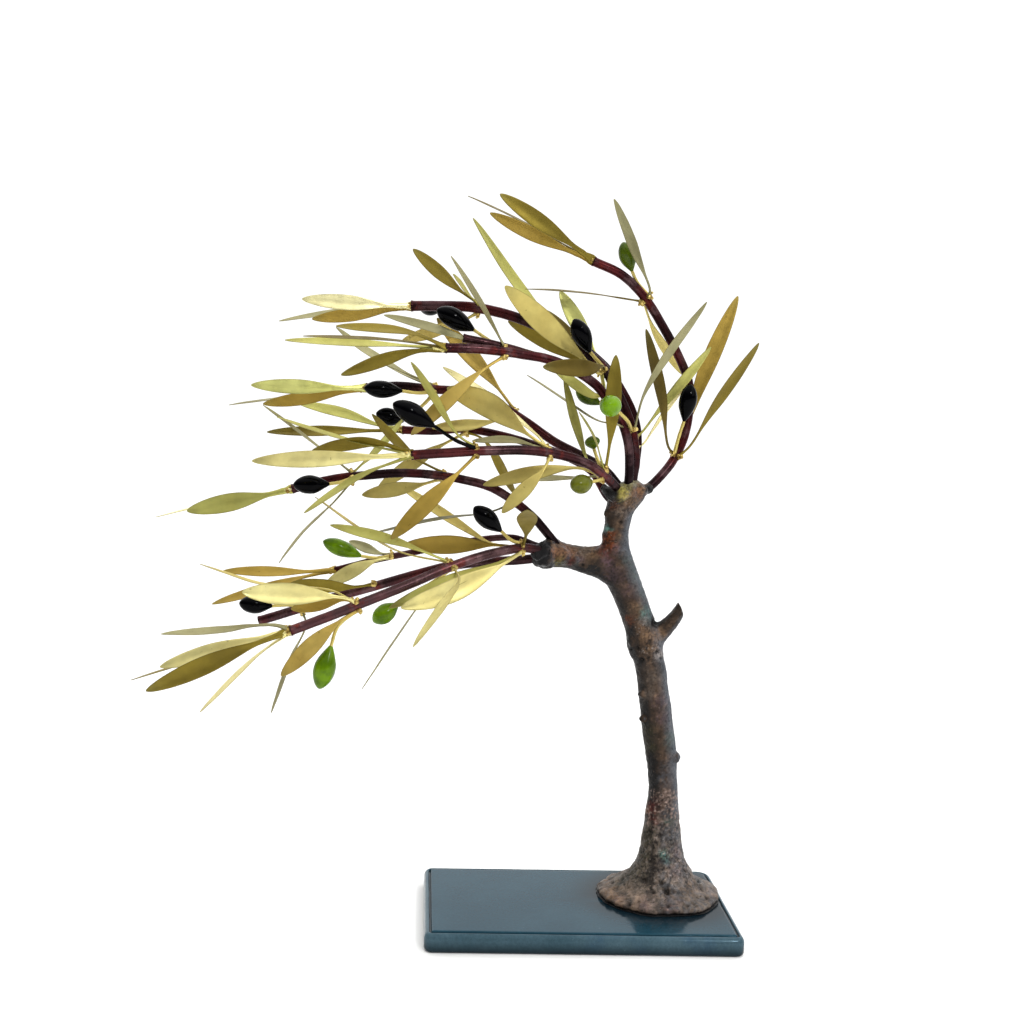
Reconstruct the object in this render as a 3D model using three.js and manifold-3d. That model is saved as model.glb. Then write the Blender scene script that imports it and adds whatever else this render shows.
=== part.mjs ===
// A windswept olive tree made of metal, standing on a stone slab.
// Millimetres, +Z up, +X to the right of the front, +Y to the back.
// The origin is the centre of the slab's underside.

import * as THREE from 'three';
import { mergeVertices } from 'three/addons/utils/BufferGeometryUtils.js';
import Module from 'manifold-3d';

const wasm = await Module();
wasm.setup();

// Driving dimensions, millimetres

const slabLength = 160;
const slabDepth = 90;
const slabHeight = 10;
const slabCorner = 4;
const slabBevel = 1.2;
const footRadius = 31.5;
const footDepthShare = 0.84;
const trunkDepth = 9;
const gap = 0.35;
const leafSheet = 0.7;
const stalkWidth = 1.5;
const stemRadius = 0.85;
const collarWall = 0.95;
const collarLength = 4.2;
const rodSides = 8;
const rodStep = 12;

// The front view that places are read in

// The eye is a point in millimetres, the heading is in degrees, and the focal length is in pixels
// of a square picture. A place is a pixel across, a pixel down and a depth along +Y in millimetres.
const eye = new THREE.Vector3(-76, -625.5, 263);
const turnRight = THREE.MathUtils.degToRad(3.22);
const tiltDown = THREE.MathUtils.degToRad(4.22);
const leanRight = THREE.MathUtils.degToRad(2.02);
const focalPixels = 1205;
const pictureCentre = 512;

const forward = new THREE.Vector3(
  Math.sin(turnRight) * Math.cos(tiltDown),
  Math.cos(turnRight) * Math.cos(tiltDown),
  -Math.sin(tiltDown),
);
const levelRight = new THREE.Vector3(Math.cos(turnRight), -Math.sin(turnRight), 0);
const levelUp = new THREE.Vector3().crossVectors(levelRight, forward);
const viewRight = levelRight.clone().multiplyScalar(Math.cos(leanRight))
  .addScaledVector(levelUp, Math.sin(leanRight));
const viewUp = levelUp.clone().multiplyScalar(Math.cos(leanRight))
  .addScaledVector(levelRight, -Math.sin(leanRight));

function place([across, down, depth]) {
  const ray = forward.clone()
    .addScaledVector(viewRight, (across - pictureCentre) / focalPixels)
    .addScaledVector(viewUp, (pictureCentre - down) / focalPixels);
  return eye.clone().addScaledVector(ray, (depth - eye.y) / ray.y);
}

function pixelOf(point) {
  const offset = point.clone().sub(eye);
  const far = offset.dot(forward);
  const across = pictureCentre + focalPixels * offset.dot(viewRight) / far;
  const down = pictureCentre - focalPixels * offset.dot(viewUp) / far;
  return [across, down];
}

// Copper branches: each route runs from inside the trunk to the branch's end

const branches = {
  crown: {
    radius: 2.4,
    route: [
      [638, 496, 8], [655, 482, 12], [672, 462, 16], [683, 440, 18], [689, 412, 20], [689, 384, 20],
      [678, 355, 19], [662, 325, 17], [645, 298, 15], [622, 275, 12], [593, 261, 10],
    ],
  },
  upper: {
    radius: 2.8,
    route: [
      [631, 489, 9], [633, 475, 8], [635, 463, 7], [634.5, 450, 6], [632, 432, 5.5], [627.5, 416, 5],
      [621.5, 402, 5.5], [614.5, 387, 6], [606, 371, 7], [578, 347, 9], [540, 327, 12], [505, 314, 14], [470, 307, 16], [440, 306, 17], [411, 306, 18],
    ],
  },
  upperFront: {
    radius: 2.4,
    route: [
      [627.5, 489, 3], [629, 477, 1], [629.5, 463, 0], [629, 450, -1], [626.5, 436, -2],
      [621, 420, -4], [609, 402, -7], [595, 384, -10], [557, 362, -16], [520, 354, -22], [480, 349, -27], [445, 348, -30],
    ],
  },
  middleFront: {
    radius: 2.4,
    route: [
      [621, 498, 6], [618, 490, -1], [612, 483, -8], [603, 475, -14], [590, 465, -18], [565, 456, -23],
      [530, 450.5, -28], [480, 451, -33], [445, 453, -35], [411, 455, -36],
    ],
  },
  middle: {
    radius: 2.4,
    route: [
      [622, 490, 12], [605, 470, 14], [582, 456, 16], [555, 442, 18], [525, 421, 20],
      [495, 403, 21], [462, 392, 22], [430, 389, 23], [398, 386, 24], [366, 388, 24],
    ],
  },
  middleBack: {
    radius: 2.2,
    route: [
      [622, 510, 13], [607, 496, 19], [592, 472, 26], [565, 456, 32], [538, 446, 35],
      [500, 435, 37], [464, 429, 38], [435, 431, 37], [402, 430, 36],
    ],
  },
  limbRise: {
    radius: 2.3,
    route: [
      [559, 548, 7], [547, 533, 5], [533, 517, 2], [515, 502, 0], [490, 487, -2], [460, 479, -4],
      [430, 474.5, -5], [400, 473, -6], [370, 475, -7], [340, 478, -8], [315, 483, -8], [292, 489, -8],
    ],
  },
  lowFront: {
    radius: 2.4,
    route: [
      [566, 560, 5], [545, 552, -2], [525, 548, -9], [490, 554, -18], [450, 567, -26],
      [410, 584, -33], [370, 600, -39], [330, 616, -44], [290, 631, -48],
    ],
  },
  lowMiddle: {
    radius: 2.2,
    route: [
      [558, 558, 9], [540, 558, 11], [520, 560, 13], [485, 562, 16], [450, 566, 19],
      [410, 576, 22], [372, 587, 24], [325, 600, 26], [298, 609, 27], [259, 621, 28],
    ],
  },
  lowBack: {
    radius: 1.8,
    route: [
      [558, 549, 13], [538, 546, 17], [515, 538, 24], [485, 539, 30], [450, 545, 35],
      [415, 552, 39], [375, 560, 42], [335, 570, 44],
    ],
  },
};

// Brass sprays: each is a collar on a branch, with its leaves

// A leaf runs from the collar through its via places to its tip. Wide is the blade's width in
// millimetres, and roll turns the blade about its length, in degrees from facing the front view.
const sprays = {
  crownTip: {
    branch: 'crown', collar: [593, 261],
    leaves: [
      { tip: [500, 194, -4], via: [[560, 236]], wide: 8.4, roll: 15 },
      { tip: [490, 213, 14], via: [[556, 245]], wide: 7.6, roll: -20 },
      { tip: [468, 196, 24], via: [[545, 234], [500, 211]], wide: 7.5, roll: 84 },
    ],
  },
  crownBend: {
    branch: 'crown', collar: [645, 299],
    leaves: [
      { tip: [614, 199, -6], via: [[650, 290, 10], [634, 250, 0]], wide: 8, roll: 62 },
      { tip: [525, 289, 4], via: [[600, 295], [558, 291]], wide: 7, roll: 84 },
      { tip: [684, 376, 30], via: [[652, 325, 24]], wide: 8, roll: 52 },
    ],
  },
  crownFork: {
    branch: 'crown', collar: [675, 456],
    leaves: [
      { tip: [759, 343, 2], via: [[690, 446, 12], [712, 410, 8]], wide: 8, roll: 48 },
      { tip: [738, 296, 30], via: [[689, 420, 26], [700, 385, 28]], wide: 9, roll: 5 },
      { tip: [646, 329, -4], via: [[668, 446, 10], [662, 400, 1]], wide: 8, roll: 42 },
    ],
  },
  upperTip: {
    branch: 'upper', collar: [411, 306],
    leaves: [
      { tip: [302, 299, 8], via: [[380, 305]], wide: 8, roll: 10 },
      { tip: [312, 319, 18], via: [[380, 311]], wide: 7.6, roll: -25 },
      { tip: [279, 321, 30], via: [[360, 309]], wide: 7.5, roll: 70 },
    ],
  },
  upperBend: {
    branch: 'upper', collar: [478, 309],
    leaves: [
      { tip: [413, 249, 24], via: [[458, 289]], wide: 7.6, roll: 22 },
      { tip: [453, 274, 6], via: [[468, 294]], wide: 7, roll: 72 },
      { tip: [402, 341, 22], via: [[462, 321, 20]], wide: 7.4, roll: -25 },
    ],
  },
  upperCrest: {
    branch: 'upper', collar: [606, 369],
    leaves: [
      { tip: [505, 286, -4], via: [[596, 370, 4], [555, 333, 3]], wide: 11.8, roll: 0 },
      { tip: [473, 218, 26], via: [[585, 362, 16], [522, 291, 22]], wide: 8, roll: 48 },
      { tip: [508, 321, 26], via: [[580, 360, 18]], wide: 8, roll: -20 },
      { tip: [546, 310, 34], via: [[590, 356, 18]], wide: 7, roll: 40 },
      { tip: [560, 291, 20], via: [[594, 352, 15]], wide: 8.6, roll: 5 },
      { tip: [543, 367, -34], via: [[602, 366, -6], [590, 368, -18]], wide: 9, roll: 10 },
      { tip: [552, 368, -6], via: [[604, 391, 4], [596, 396, 2]], wide: 7, roll: 40 },
    ],
  },
  upperFork: {
    branch: 'upper', collar: [631, 430],
    leaves: [
      { tip: [707, 302, -20], via: [[645, 392, -12], [670, 350, -17]], wide: 8, roll: 58 },
      { tip: [711, 347, 13], via: [[662, 406, 10]], wide: 8, roll: 48 },
      { tip: [690, 378, 14], via: [[650, 432, 7]], wide: 6, roll: 66 },
      { tip: [527, 375, 10], via: [[596, 420, 8], [558, 396, 9]], wide: 7.5, roll: 82 },
    ],
  },
  frontTip: {
    branch: 'upperFront', collar: [445, 348],
    leaves: [
      { tip: [303, 336, -38], via: [[400, 341]], wide: 7, roll: 78 },
      { tip: [285, 340, -28], via: [[390, 345]], wide: 7.5, roll: 60 },
      { tip: [341, 375, -24], via: [[405, 353]], wide: 7.4, roll: -30 },
      { tip: [336, 326, -46], via: [[412, 333]], wide: 7.5, roll: 55 },
    ],
  },
  frontBend: {
    branch: 'upperFront', collar: [505, 350],
    leaves: [
      { tip: [451, 256, -18], via: [[480, 303]], wide: 7, roll: 66 },
      { tip: [411, 435, -34], via: [[480, 372, -29]], wide: 8, roll: 22 },
      { tip: [424, 414, -18], via: [[487, 368, -20]], wide: 7, roll: 80 },
      { tip: [384, 315, -4], via: [[462, 337, -14]], wide: 7, roll: 50 },
    ],
  },
  middleFrontTip: {
    branch: 'middleFront', collar: [411, 455],
    leaves: [
      { tip: [252, 461, -44], via: [[345, 458]], wide: 8.2, roll: 8 },
      { tip: [312, 451, -26], via: [[375, 442], [340, 445]], wide: 7.6, roll: -35 },
      { tip: [277, 417, -18], via: [[355, 442], [305, 427]], wide: 7, roll: 74 },
      { tip: [304, 513, -42], via: [[365, 474]], wide: 8, roll: 66 },
    ],
  },
  middleFrontBend: {
    branch: 'middleFront', collar: [476, 451],
    leaves: [
      { tip: [391, 539, -50], via: [[455, 476, -42]], wide: 8.6, roll: 10 },
      { tip: [411, 362, -42], via: [[458, 435], [432, 395]], wide: 7.5, roll: 58 },
    ],
  },
  middleFrontShoulder: {
    branch: 'middleFront', collar: [550, 451],
    leaves: [
      { tip: [447, 388, -12], via: [[530, 436, -24], [490, 406, -16]], wide: 12.6, roll: 0 },
      { tip: [472, 441, -24], via: [[515, 441, -26]], wide: 8, roll: 62 },
      { tip: [502, 513, -34], via: [[543, 470, -32]], wide: 8, roll: 28 },
      { tip: [443, 367, 2], via: [[537, 435, -12], [490, 400, -2]], wide: 8, roll: 48 },
    ],
  },
  middleFrontFork: {
    branch: 'middleFront', collar: [603, 475],
    leaves: [
      { tip: [616, 355, -17], via: [[610, 440, -16]], wide: 8.2, roll: 8 },
      { tip: [579, 412, -22], via: [[594, 438]], wide: 6, roll: 80 },
      { tip: [483, 485, -6], via: [[578, 468, -9], [530, 474, -8]], wide: 8, roll: 20 },
      { tip: [508, 479, 4], via: [[576, 478, -2]], wide: 6.5, roll: 60 },
      { tip: [564, 378, 0], via: [[589, 463, -4], [574, 420, 0]], wide: 8, roll: 54 },
    ],
  },
  middleTip: {
    branch: 'middle', collar: [366, 388],
    leaves: [
      { tip: [251, 385, 16], via: [[340, 388]], wide: 7.8, roll: 8 },
      { tip: [263, 404, 28], via: [[330, 394]], wide: 7.4, roll: -20 },
      { tip: [229, 405, 38], via: [[310, 395]], wide: 7.5, roll: 82 },
    ],
  },
  middleBend: {
    branch: 'middle', collar: [434, 389],
    leaves: [
      { tip: [336, 327, 32], via: [[400, 370, 28], [360, 347, 30]], wide: 7.8, roll: 60 },
      { tip: [356, 344, 44], via: [[408, 376, 34]], wide: 7, roll: 64 },
    ],
  },
  middleShoulder: {
    branch: 'middle', collar: [514, 413],
    leaves: [
      { tip: [437, 318, 36], via: [[490, 378, 30]], wide: 9.2, roll: 5 },
      { tip: [432, 428, 30], via: [[480, 424, 28]], wide: 8, roll: 38 },
    ],
  },
  middleBackTip: {
    branch: 'middleBack', collar: [402, 430],
    leaves: [
      { tip: [267, 432, 32], via: [[350, 431]], wide: 8, roll: 46 },
      { tip: [298, 403, 48], via: [[375, 424], [345, 414]], wide: 7.6, roll: 42 },
    ],
  },
  middleBackBend: {
    branch: 'middleBack', collar: [466, 430],
    leaves: [
      { tip: [378, 488, 46], via: [[430, 452]], wide: 8, roll: 12 },
      { tip: [516, 495, 30], via: [[484, 440, 34]], wide: 8, roll: 52 },
    ],
  },
  limbRiseTip: {
    branch: 'limbRise', collar: [292, 489],
    leaves: [
      { tip: [187, 511, -12], via: [[262, 496]], wide: 9.4, roll: 10 },
      { tip: [156, 517, -2], via: [[235, 499]], wide: 7, roll: 84 },
    ],
  },
  limbRiseEnd: {
    branch: 'limbRise', collar: [352, 477],
    leaves: [
      { tip: [263, 405, -2], via: [[330, 456]], wide: 7.5, roll: 78 },
      { tip: [403, 419, 12], via: [[372, 454, 8]], wide: 7, roll: 56 },
      { tip: [279, 563, -10], via: [[333, 503], [302, 534]], wide: 7, roll: 80 },
    ],
  },
  limbRiseBend: {
    branch: 'limbRise', collar: [443, 477],
    leaves: [
      { tip: [362, 495, 8], via: [[415, 486, 2]], wide: 7.8, roll: 14 },
      { tip: [372, 414, 6], via: [[412, 456, 1], [390, 435, 3]], wide: 7.6, roll: 50 },
    ],
  },
  limbRiseShoulder: {
    branch: 'limbRise', collar: [513, 501],
    leaves: [
      { tip: [374, 533, -8], via: [[490, 512, -2], [440, 519, -5]], wide: 7, roll: 76 },
    ],
  },
  lowFrontTip: {
    branch: 'lowFront', collar: [290, 631],
    leaves: [
      { tip: [161, 634, -44], via: [[262, 628], [225, 630]], wide: 7.5, roll: 62 },
      { tip: [160, 667, -54], via: [[250, 641]], wide: 8, roll: 15 },
      { tip: [146, 691, -64], via: [[240, 650]], wide: 9, roll: -10 },
      { tip: [131, 680, -46], via: [[225, 652]], wide: 7, roll: 82 },
      { tip: [200, 712, -38], via: [[262, 652]], wide: 7, roll: 70 },
    ],
  },
  lowFrontEnd: {
    branch: 'lowFront', collar: [356, 605],
    leaves: [
      { tip: [242, 592, -60], via: [[345, 598, -47]], wide: 10.6, roll: 0 },
      { tip: [291, 609, -34], via: [[345, 600, -36]], wide: 7.8, roll: -30 },
      { tip: [281, 676, -52], via: [[336, 624, -45]], wide: 8.6, roll: 12 },
      { tip: [200, 564, -30], via: [[330, 590, -32], [260, 584], [225, 573]], wide: 7, roll: 80 },
    ],
  },
  lowFrontBend: {
    branch: 'lowFront', collar: [452, 566],
    leaves: [
      { tip: [330, 525, -26], via: [[400, 543]], wide: 7.6, roll: 46 },
      { tip: [315, 497, -16], via: [[397, 551, -22], [362, 531]], wide: 7, roll: 80 },
      { tip: [413, 647, -68], via: [[459, 580, -42], [447, 600, -58]], wide: 7, roll: 56 },
      { tip: [362, 689, -10], via: [[438, 580, -15]], wide: 7, roll: 84 },
    ],
  },
  lowFrontShoulder: {
    branch: 'lowFront', collar: [521, 548],
    leaves: [
      { tip: [404, 545, 0], via: [[495, 545, -6]], wide: 9.8, roll: 0 },
      { tip: [527, 510, -58], via: [[526, 535, -22], [527, 520, -36]], wide: 10.2, roll: 0 },
      { tip: [389, 608, -35], via: [[505, 560, -20], [440, 586, -35]], wide: 8, roll: 30 },
      { tip: [401, 608, -44], via: [[505, 563, -22], [450, 592, -37]], wide: 11.2, roll: -5 },
      { tip: [397, 484, 14], via: [[490, 543, 0], [477, 536, 4]], wide: 7.5, roll: 46 },
    ],
  },
  lowMiddleTip: {
    branch: 'lowMiddle', collar: [301, 608],
    leaves: [
      { tip: [271, 713, 26], via: [[306, 624, 22], [293, 655, 24]], wide: 7, roll: 72 },
    ],
  },
  lowMiddleEnd: {
    branch: 'lowMiddle', collar: [375, 586],
    leaves: [
      { tip: [291, 583, 18], via: [[352, 587, 20]], wide: 7.6, roll: -18 },
    ],
  },
  lowBackTip: {
    branch: 'lowBack', collar: [335, 570],
    leaves: [
      { tip: [223, 571, 40], via: [[300, 572]], wide: 7.6, roll: 42 },
      { tip: [212, 604, 54], via: [[300, 578], [260, 590]], wide: 7.6, roll: 46 },
    ],
  },
  lowBackEnd: {
    branch: 'lowBack', collar: [392, 556],
    leaves: [
      { tip: [349, 541, 50], via: [[378, 553]], wide: 7, roll: 40 },
      { tip: [325, 585, 32], via: [[372, 562, 36]], wide: 8, roll: 10 },
    ],
  },
};

// Olives: each hangs on a brass stem that grows out of a spray's collar

// Butt is where the stem enters and tip is the pointed end; thick is the diameter in millimetres.
const olives = {
  crownGreen: { spray: 'crownBend', colour: 'green', butt: [632, 271, 12], tip: [623, 242, 12], thick: 9,
    stem: [[637, 282]] },
  crownBlack: { spray: 'crownFork', colour: 'black', butt: [684, 421, 9], tip: [691, 384, 6], thick: 9.4,
    stem: [[679, 436]] },
  upperTipBlack: { spray: 'upperTip', colour: 'black', butt: [428, 312, 28], tip: [434, 306, 42], thick: 9,
    stem: [[420, 310]] },
  upperCrestBlack: { spray: 'upperCrest', colour: 'black', butt: [590, 352, -5], tip: [574, 319, -8], thick: 10,
    stem: [[597, 360]] },
  upperCrestGreen: { spray: 'upperCrest', colour: 'green', butt: [600, 404, 14], tip: [576, 390, 18], thick: 8.4,
    stem: [[604, 396]] },
  upperForkGreen: { spray: 'upperFork', colour: 'green', butt: [614, 408, -24], tip: [608, 404, -41], thick: 10.6,
    stem: [[626, 419, -18]] },
  frontBlack: { spray: 'frontBend', colour: 'black', butt: [474, 330, -10], tip: [437, 309, -12], thick: 10.4,
    stem: [[487, 339]] },
  middleFrontBlack: { spray: 'middleFrontBend', colour: 'black', butt: [434, 426, -48], tip: [393, 403, -52],
    thick: 10.4, stem: [[457, 441]] },
  middleFrontGreen: { spray: 'middleFrontFork', colour: 'green', butt: [592, 482, -20], tip: [572, 486, -30],
    thick: 9.8, stem: [[599, 480]] },
  middleShadeGreen: { spray: 'middleFrontFork', colour: 'green', butt: [594, 449, -8], tip: [591, 436, -8],
    thick: 8, stem: [[597, 458]] },
  middleTipBlack: { spray: 'middleBend', colour: 'black', butt: [402, 391, 15], tip: [364, 388, 12], thick: 9.4,
    stem: [[419, 393]] },
  middleBendBlack: { spray: 'middleBend', colour: 'black', butt: [404, 421, 22], tip: [376, 413, 20], thick: 9.4,
    stem: [[424, 404]] },
  limbRiseBlack: { spray: 'limbRiseEnd', colour: 'black', butt: [329, 484, -18], tip: [293, 485, -20], thick: 9.4,
    stem: [[341, 482]] },
  lowBackGreen: { spray: 'lowBackEnd', colour: 'green', butt: [361, 556, 36], tip: [323, 541, 34], thick: 9.2,
    stem: [[377, 558]] },
  lowShoulderBlack: { spray: 'lowFrontShoulder', colour: 'black', butt: [501, 531, -14], tip: [474, 507, -18],
    thick: 10, stem: [[511, 540]] },
  lowBendGreen: { spray: 'lowFrontBend', colour: 'green', butt: [398, 604, -18], tip: [373, 622, -18], thick: 9.8,
    stem: [[436, 580, -20], [420, 590, -18]] },
  lowEndGreen: { spray: 'lowFrontEnd', colour: 'green', butt: [331, 646, -44], tip: [319, 689, -44], thick: 10.6,
    stem: [[338, 626]] },
  lowMiddleBlack: { spray: 'lowMiddleTip', colour: 'black', butt: [272, 606, 20], tip: [239, 603, 18], thick: 9.8,
    stem: [[288, 605]] },
};

// Trunk outline from the foot up: centre pixel and half width in millimetres

const trunkStations = [
  { centre: [661, 872], half: 14 },
  { centre: [661, 853], half: 11.6 },
  { centre: [661, 831], half: 10 },
  { centre: [662, 802], half: 8.4 },
  { centre: [662, 770], half: 7.8 },
  { centre: [659, 742], half: 8.1 },
  { centre: [655, 708], half: 8.1 },
  { centre: [651, 678], half: 8 },
  { centre: [645, 652], half: 8.8 },
  { centre: [639, 632], half: 8.2 },
  { centre: [633, 608], half: 8.8 },
  { centre: [623, 580], half: 9 },
  { centre: [616, 555], half: 8.6 },
  { centre: [616, 532], half: 7 },
  { centre: [620, 510], half: 7.8 },
  { centre: [625, 497], half: 9.2 },
  { centre: [629, 488], half: 10 },
  { centre: [630, 481], half: 7.4 },
];
const limbStations = [
  { centre: [622, 576], half: 7 },
  { centre: [605, 566], half: 8.4 },
  { centre: [590, 560], half: 7.2 },
  { centre: [574, 556.5], half: 6.3 },
  { centre: [559, 554], half: 7.4 },
  { centre: [546, 552], half: 7.8 },
  { centre: [538, 551], half: 6.4 },
];
const stubStations = [
  { centre: [650, 642], half: 6 },
  { centre: [663, 630], half: 5.2 },
  { centre: [671, 620], half: 4.2 },
  { centre: [676.5, 613], half: 4 },
  { centre: [678.5, 604], half: 1.2 },
];
const knobs = [
  { centre: [645, 718, 6], radius: 3.4 },
  { centre: [674, 758, 7], radius: 3.6 },
  { centre: [643, 694, 4], radius: 3 },
  { centre: [639, 655, 5], radius: 4.6 },
  { centre: [541, 558, 4], radius: 5.4 },
];

// Solid building blocks

// Joins rings of points into one closed body, with both faces of a flat section cut alike.
function loft(rings) {
  const count = rings[0].length;
  const last = rings.length - 1;
  const positions = rings.flat().flatMap((point) => [point.x, point.y, point.z]);
  const faces = [];
  for (let step = 0; step < last; step += 1) {
    for (let side = 0; side < count; side += 1) {
      const a = step * count + side;
      const b = step * count + (side + 1) % count;
      const c = b + count;
      const d = a + count;
      if (side < count / 2) faces.push(a, b, c, a, c, d);
      else faces.push(a, b, d, b, c, d);
    }
  }
  for (let side = 1; side < count - 1; side += 1) {
    const end = last * count;
    faces.push(0, side + 1, side, end, end + side, end + side + 1);
  }
  const geometry = new THREE.BufferGeometry();
  geometry.setAttribute('position', new THREE.Float32BufferAttribute(positions, 3));
  geometry.setIndex(faces);
  return geometry;
}

function toSolid(source) {
  const geometry = source.clone();
  geometry.deleteAttribute('normal');
  geometry.deleteAttribute('uv');
  const merged = mergeVertices(geometry, 1e-4);
  const mesh = new wasm.Mesh({
    numProp: 3,
    vertProperties: new Float32Array(merged.attributes.position.array),
    triVerts: new Uint32Array(merged.index.array),
  });
  const solid = new wasm.Manifold(mesh);
  if (solid.volume() > 0) return solid;
  mesh.triVerts = mesh.triVerts.reverse();
  return new wasm.Manifold(mesh);
}

function toGeometry(solid) {
  const mesh = solid.getMesh();
  const geometry = new THREE.BufferGeometry();
  geometry.setAttribute('position', new THREE.BufferAttribute(mesh.vertProperties, 3));
  geometry.setIndex(new THREE.BufferAttribute(mesh.triVerts, 1));
  return geometry;
}

// Two directions across a line: one faces the eye as far as it can, the other lies along the width.
function acrossLine(point, along) {
  const toEye = eye.clone().sub(point).normalize();
  const face = toEye.addScaledVector(along, -toEye.dot(along)).normalize();
  const side = new THREE.Vector3().crossVectors(along, face).normalize();
  return { face, side };
}

function roundRing(point, along, radius, sides, lumps = 0) {
  const { face, side } = acrossLine(point, along);
  return Array.from({ length: sides }, (_, index) => {
    const angle = index / sides * Math.PI * 2;
    const wave = Math.sin(angle * 3 + point.z * 0.21) + Math.sin(angle * 2 - point.z * 0.13);
    const reach = radius * (1 + lumps * wave);
    return point.clone()
      .addScaledVector(side, reach * Math.cos(angle))
      .addScaledVector(face, reach * Math.sin(angle));
  });
}

// Branches

function branchCurve(name) {
  const points = branches[name].route.map(place);
  return new THREE.CatmullRomCurve3(points, false, 'centripetal');
}

// A branch's rod, fatter by extra and longer by the same amount at its free end.
function rod(name, extra = 0) {
  const curve = branchCurve(name);
  const steps = Math.round(curve.getLength() / rodStep);
  const rings = [];
  for (let step = 0; step <= steps; step += 1) {
    const at = step / steps;
    const along = curve.getTangentAt(at);
    const point = curve.getPointAt(at);
    if (step === steps) point.addScaledVector(along, extra);
    if (step === 0) point.addScaledVector(along, -extra);
    rings.push(roundRing(point, along, branches[name].radius + extra, rodSides));
  }
  return toSolid(loft(rings));
}

// The place on a branch that the front view shows nearest to a pixel.
function spotOn(name, [across, down]) {
  const curve = branchCurve(name);
  const tries = 240;
  let best = { miss: Infinity, at: 0 };
  for (let index = 0; index <= tries; index += 1) {
    const [x, y] = pixelOf(curve.getPointAt(index / tries));
    const miss = Math.hypot(x - across, y - down);
    if (miss < best.miss) best = { miss, at: index / tries };
  }
  return { point: curve.getPointAt(best.at), along: curve.getTangentAt(best.at), at: best.at };
}

// Leaves and stems

function blendDepths(start, places, startDepth) {
  const total = places.length;
  const end = places[total - 1][2];
  let known = startDepth;
  let knownIndex = -1;
  return places.map((spot, index) => {
    if (spot.length === 3) {
      known = spot[2];
      knownIndex = index;
      return place(spot);
    }
    const share = (index - knownIndex) / (total - 1 - knownIndex);
    return place([spot[0], spot[1], known + (end - known) * share]);
  });
}

// A leaf or stem leaves its collar on the side that faces the first place on its way.
function pathFrom(spray, places) {
  const spot = spotOn(spray.branch, spray.collar);
  const points = blendDepths(spot.point, places, spot.point.y);
  const out = points[0].clone().sub(spot.point);
  const atEnd = spot.at > 0.99;
  if (!atEnd) out.addScaledVector(spot.along, -out.dot(spot.along));
  const reach = atEnd ? collarLength * 0.4 : branches[spray.branch].radius + gap + 0.7;
  const root = spot.point.clone().addScaledVector(out.normalize(), reach);
  return new THREE.CatmullRomCurve3([root, ...points], false, 'centripetal');
}

// Share of the full width at a place along the blade, from the stalk to the tip.
function bladeShape(share) {
  return Math.sin(Math.PI * share ** 1.1) ** 0.7;
}

function leaf(spray, shape) {
  const curve = pathFrom(spray, [...(shape.via ?? []), shape.tip]);
  const stalk = shape.stalk ?? 0.2;
  const shares = shape.wide > 7.5 ? [0, 0.14, 0.4, 0.68, 0.92, 1] : [0, 0.2, 0.6, 0.9, 1];
  const stations = [0, ...shares.map((share) => stalk + (1 - stalk) * share)];
  const roll = THREE.MathUtils.degToRad(shape.roll);
  const rings = stations.map((at) => {
    const point = curve.getPointAt(at);
    const { face, side } = acrossLine(point, curve.getTangentAt(at));
    const share = (at - stalk) / (1 - stalk);
    const blade = share > 0 && share < 1 ? shape.wide * bladeShape(share) : 0;
    const half = Math.max(stalkWidth, blade) / 2;
    const width = side.clone().multiplyScalar(Math.cos(roll)).addScaledVector(face, -Math.sin(roll));
    const normal = face.clone().multiplyScalar(Math.cos(roll)).addScaledVector(side, Math.sin(roll));
    const sheet = leafSheet / 2;
    return [[1, 1], [-1, 1], [-1, -1], [1, -1]].map(([left, up]) => point.clone()
      .addScaledVector(width, left * half)
      .addScaledVector(normal, up * sheet));
  });
  return toSolid(loft(rings));
}

function stem(spray, olive) {
  const curve = pathFrom(spray, [...olive.stem, olive.butt]);
  const steps = 3;
  const rings = [];
  for (let step = 0; step <= steps; step += 1) {
    const at = step / steps;
    rings.push(roundRing(curve.getPoint(at), curve.getTangent(at), stemRadius, 5));
  }
  return toSolid(loft(rings));
}

function collar(spray) {
  const spot = spotOn(spray.branch, spray.collar);
  const radius = branches[spray.branch].radius + gap + collarWall;
  const shape = new THREE.CylinderGeometry(radius, radius, collarLength, rodSides);
  const turn = new THREE.Quaternion().setFromUnitVectors(new THREE.Vector3(0, 1, 0), spot.along);
  shape.applyQuaternion(turn);
  const slide = spot.at > 0.99 ? collarLength * 0.2 : 0;
  const centre = spot.point.clone().addScaledVector(spot.along, slide);
  shape.translate(centre.x, centre.y, centre.z);
  return toSolid(shape);
}

function spraySolid(name) {
  const spray = sprays[name];
  let solid = collar(spray);
  for (const shape of spray.leaves) solid = solid.add(leaf(spray, shape));
  const hung = Object.values(olives).filter((olive) => olive.spray === name);
  for (const olive of hung) solid = solid.add(stem(spray, olive));
  for (const olive of hung) solid = solid.subtract(oliveSolid(olive, gap));
  return solid.subtract(rod(spray.branch, gap));
}

// Olives

function oliveSolid(olive, extra = 0) {
  const butt = place(olive.butt);
  const tip = place(olive.tip);
  const along = tip.clone().sub(butt);
  const long = along.length() + extra * 2;
  const profile = [[0, 0], [0.09, 0.38], [0.26, 0.82], [0.48, 1], [0.72, 0.82], [0.9, 0.4], [1, 0]]
    .map(([share, wide]) => new THREE.Vector2(wide * (olive.thick / 2 + extra), share * long - extra));
  const geometry = new THREE.LatheGeometry(profile, 8);
  const turn = new THREE.Quaternion().setFromUnitVectors(new THREE.Vector3(0, 1, 0), along.normalize());
  geometry.applyQuaternion(turn);
  geometry.translate(butt.x, butt.y, butt.z);
  return toSolid(geometry);
}

// Trunk, limb, stub, knobs and foot

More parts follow.
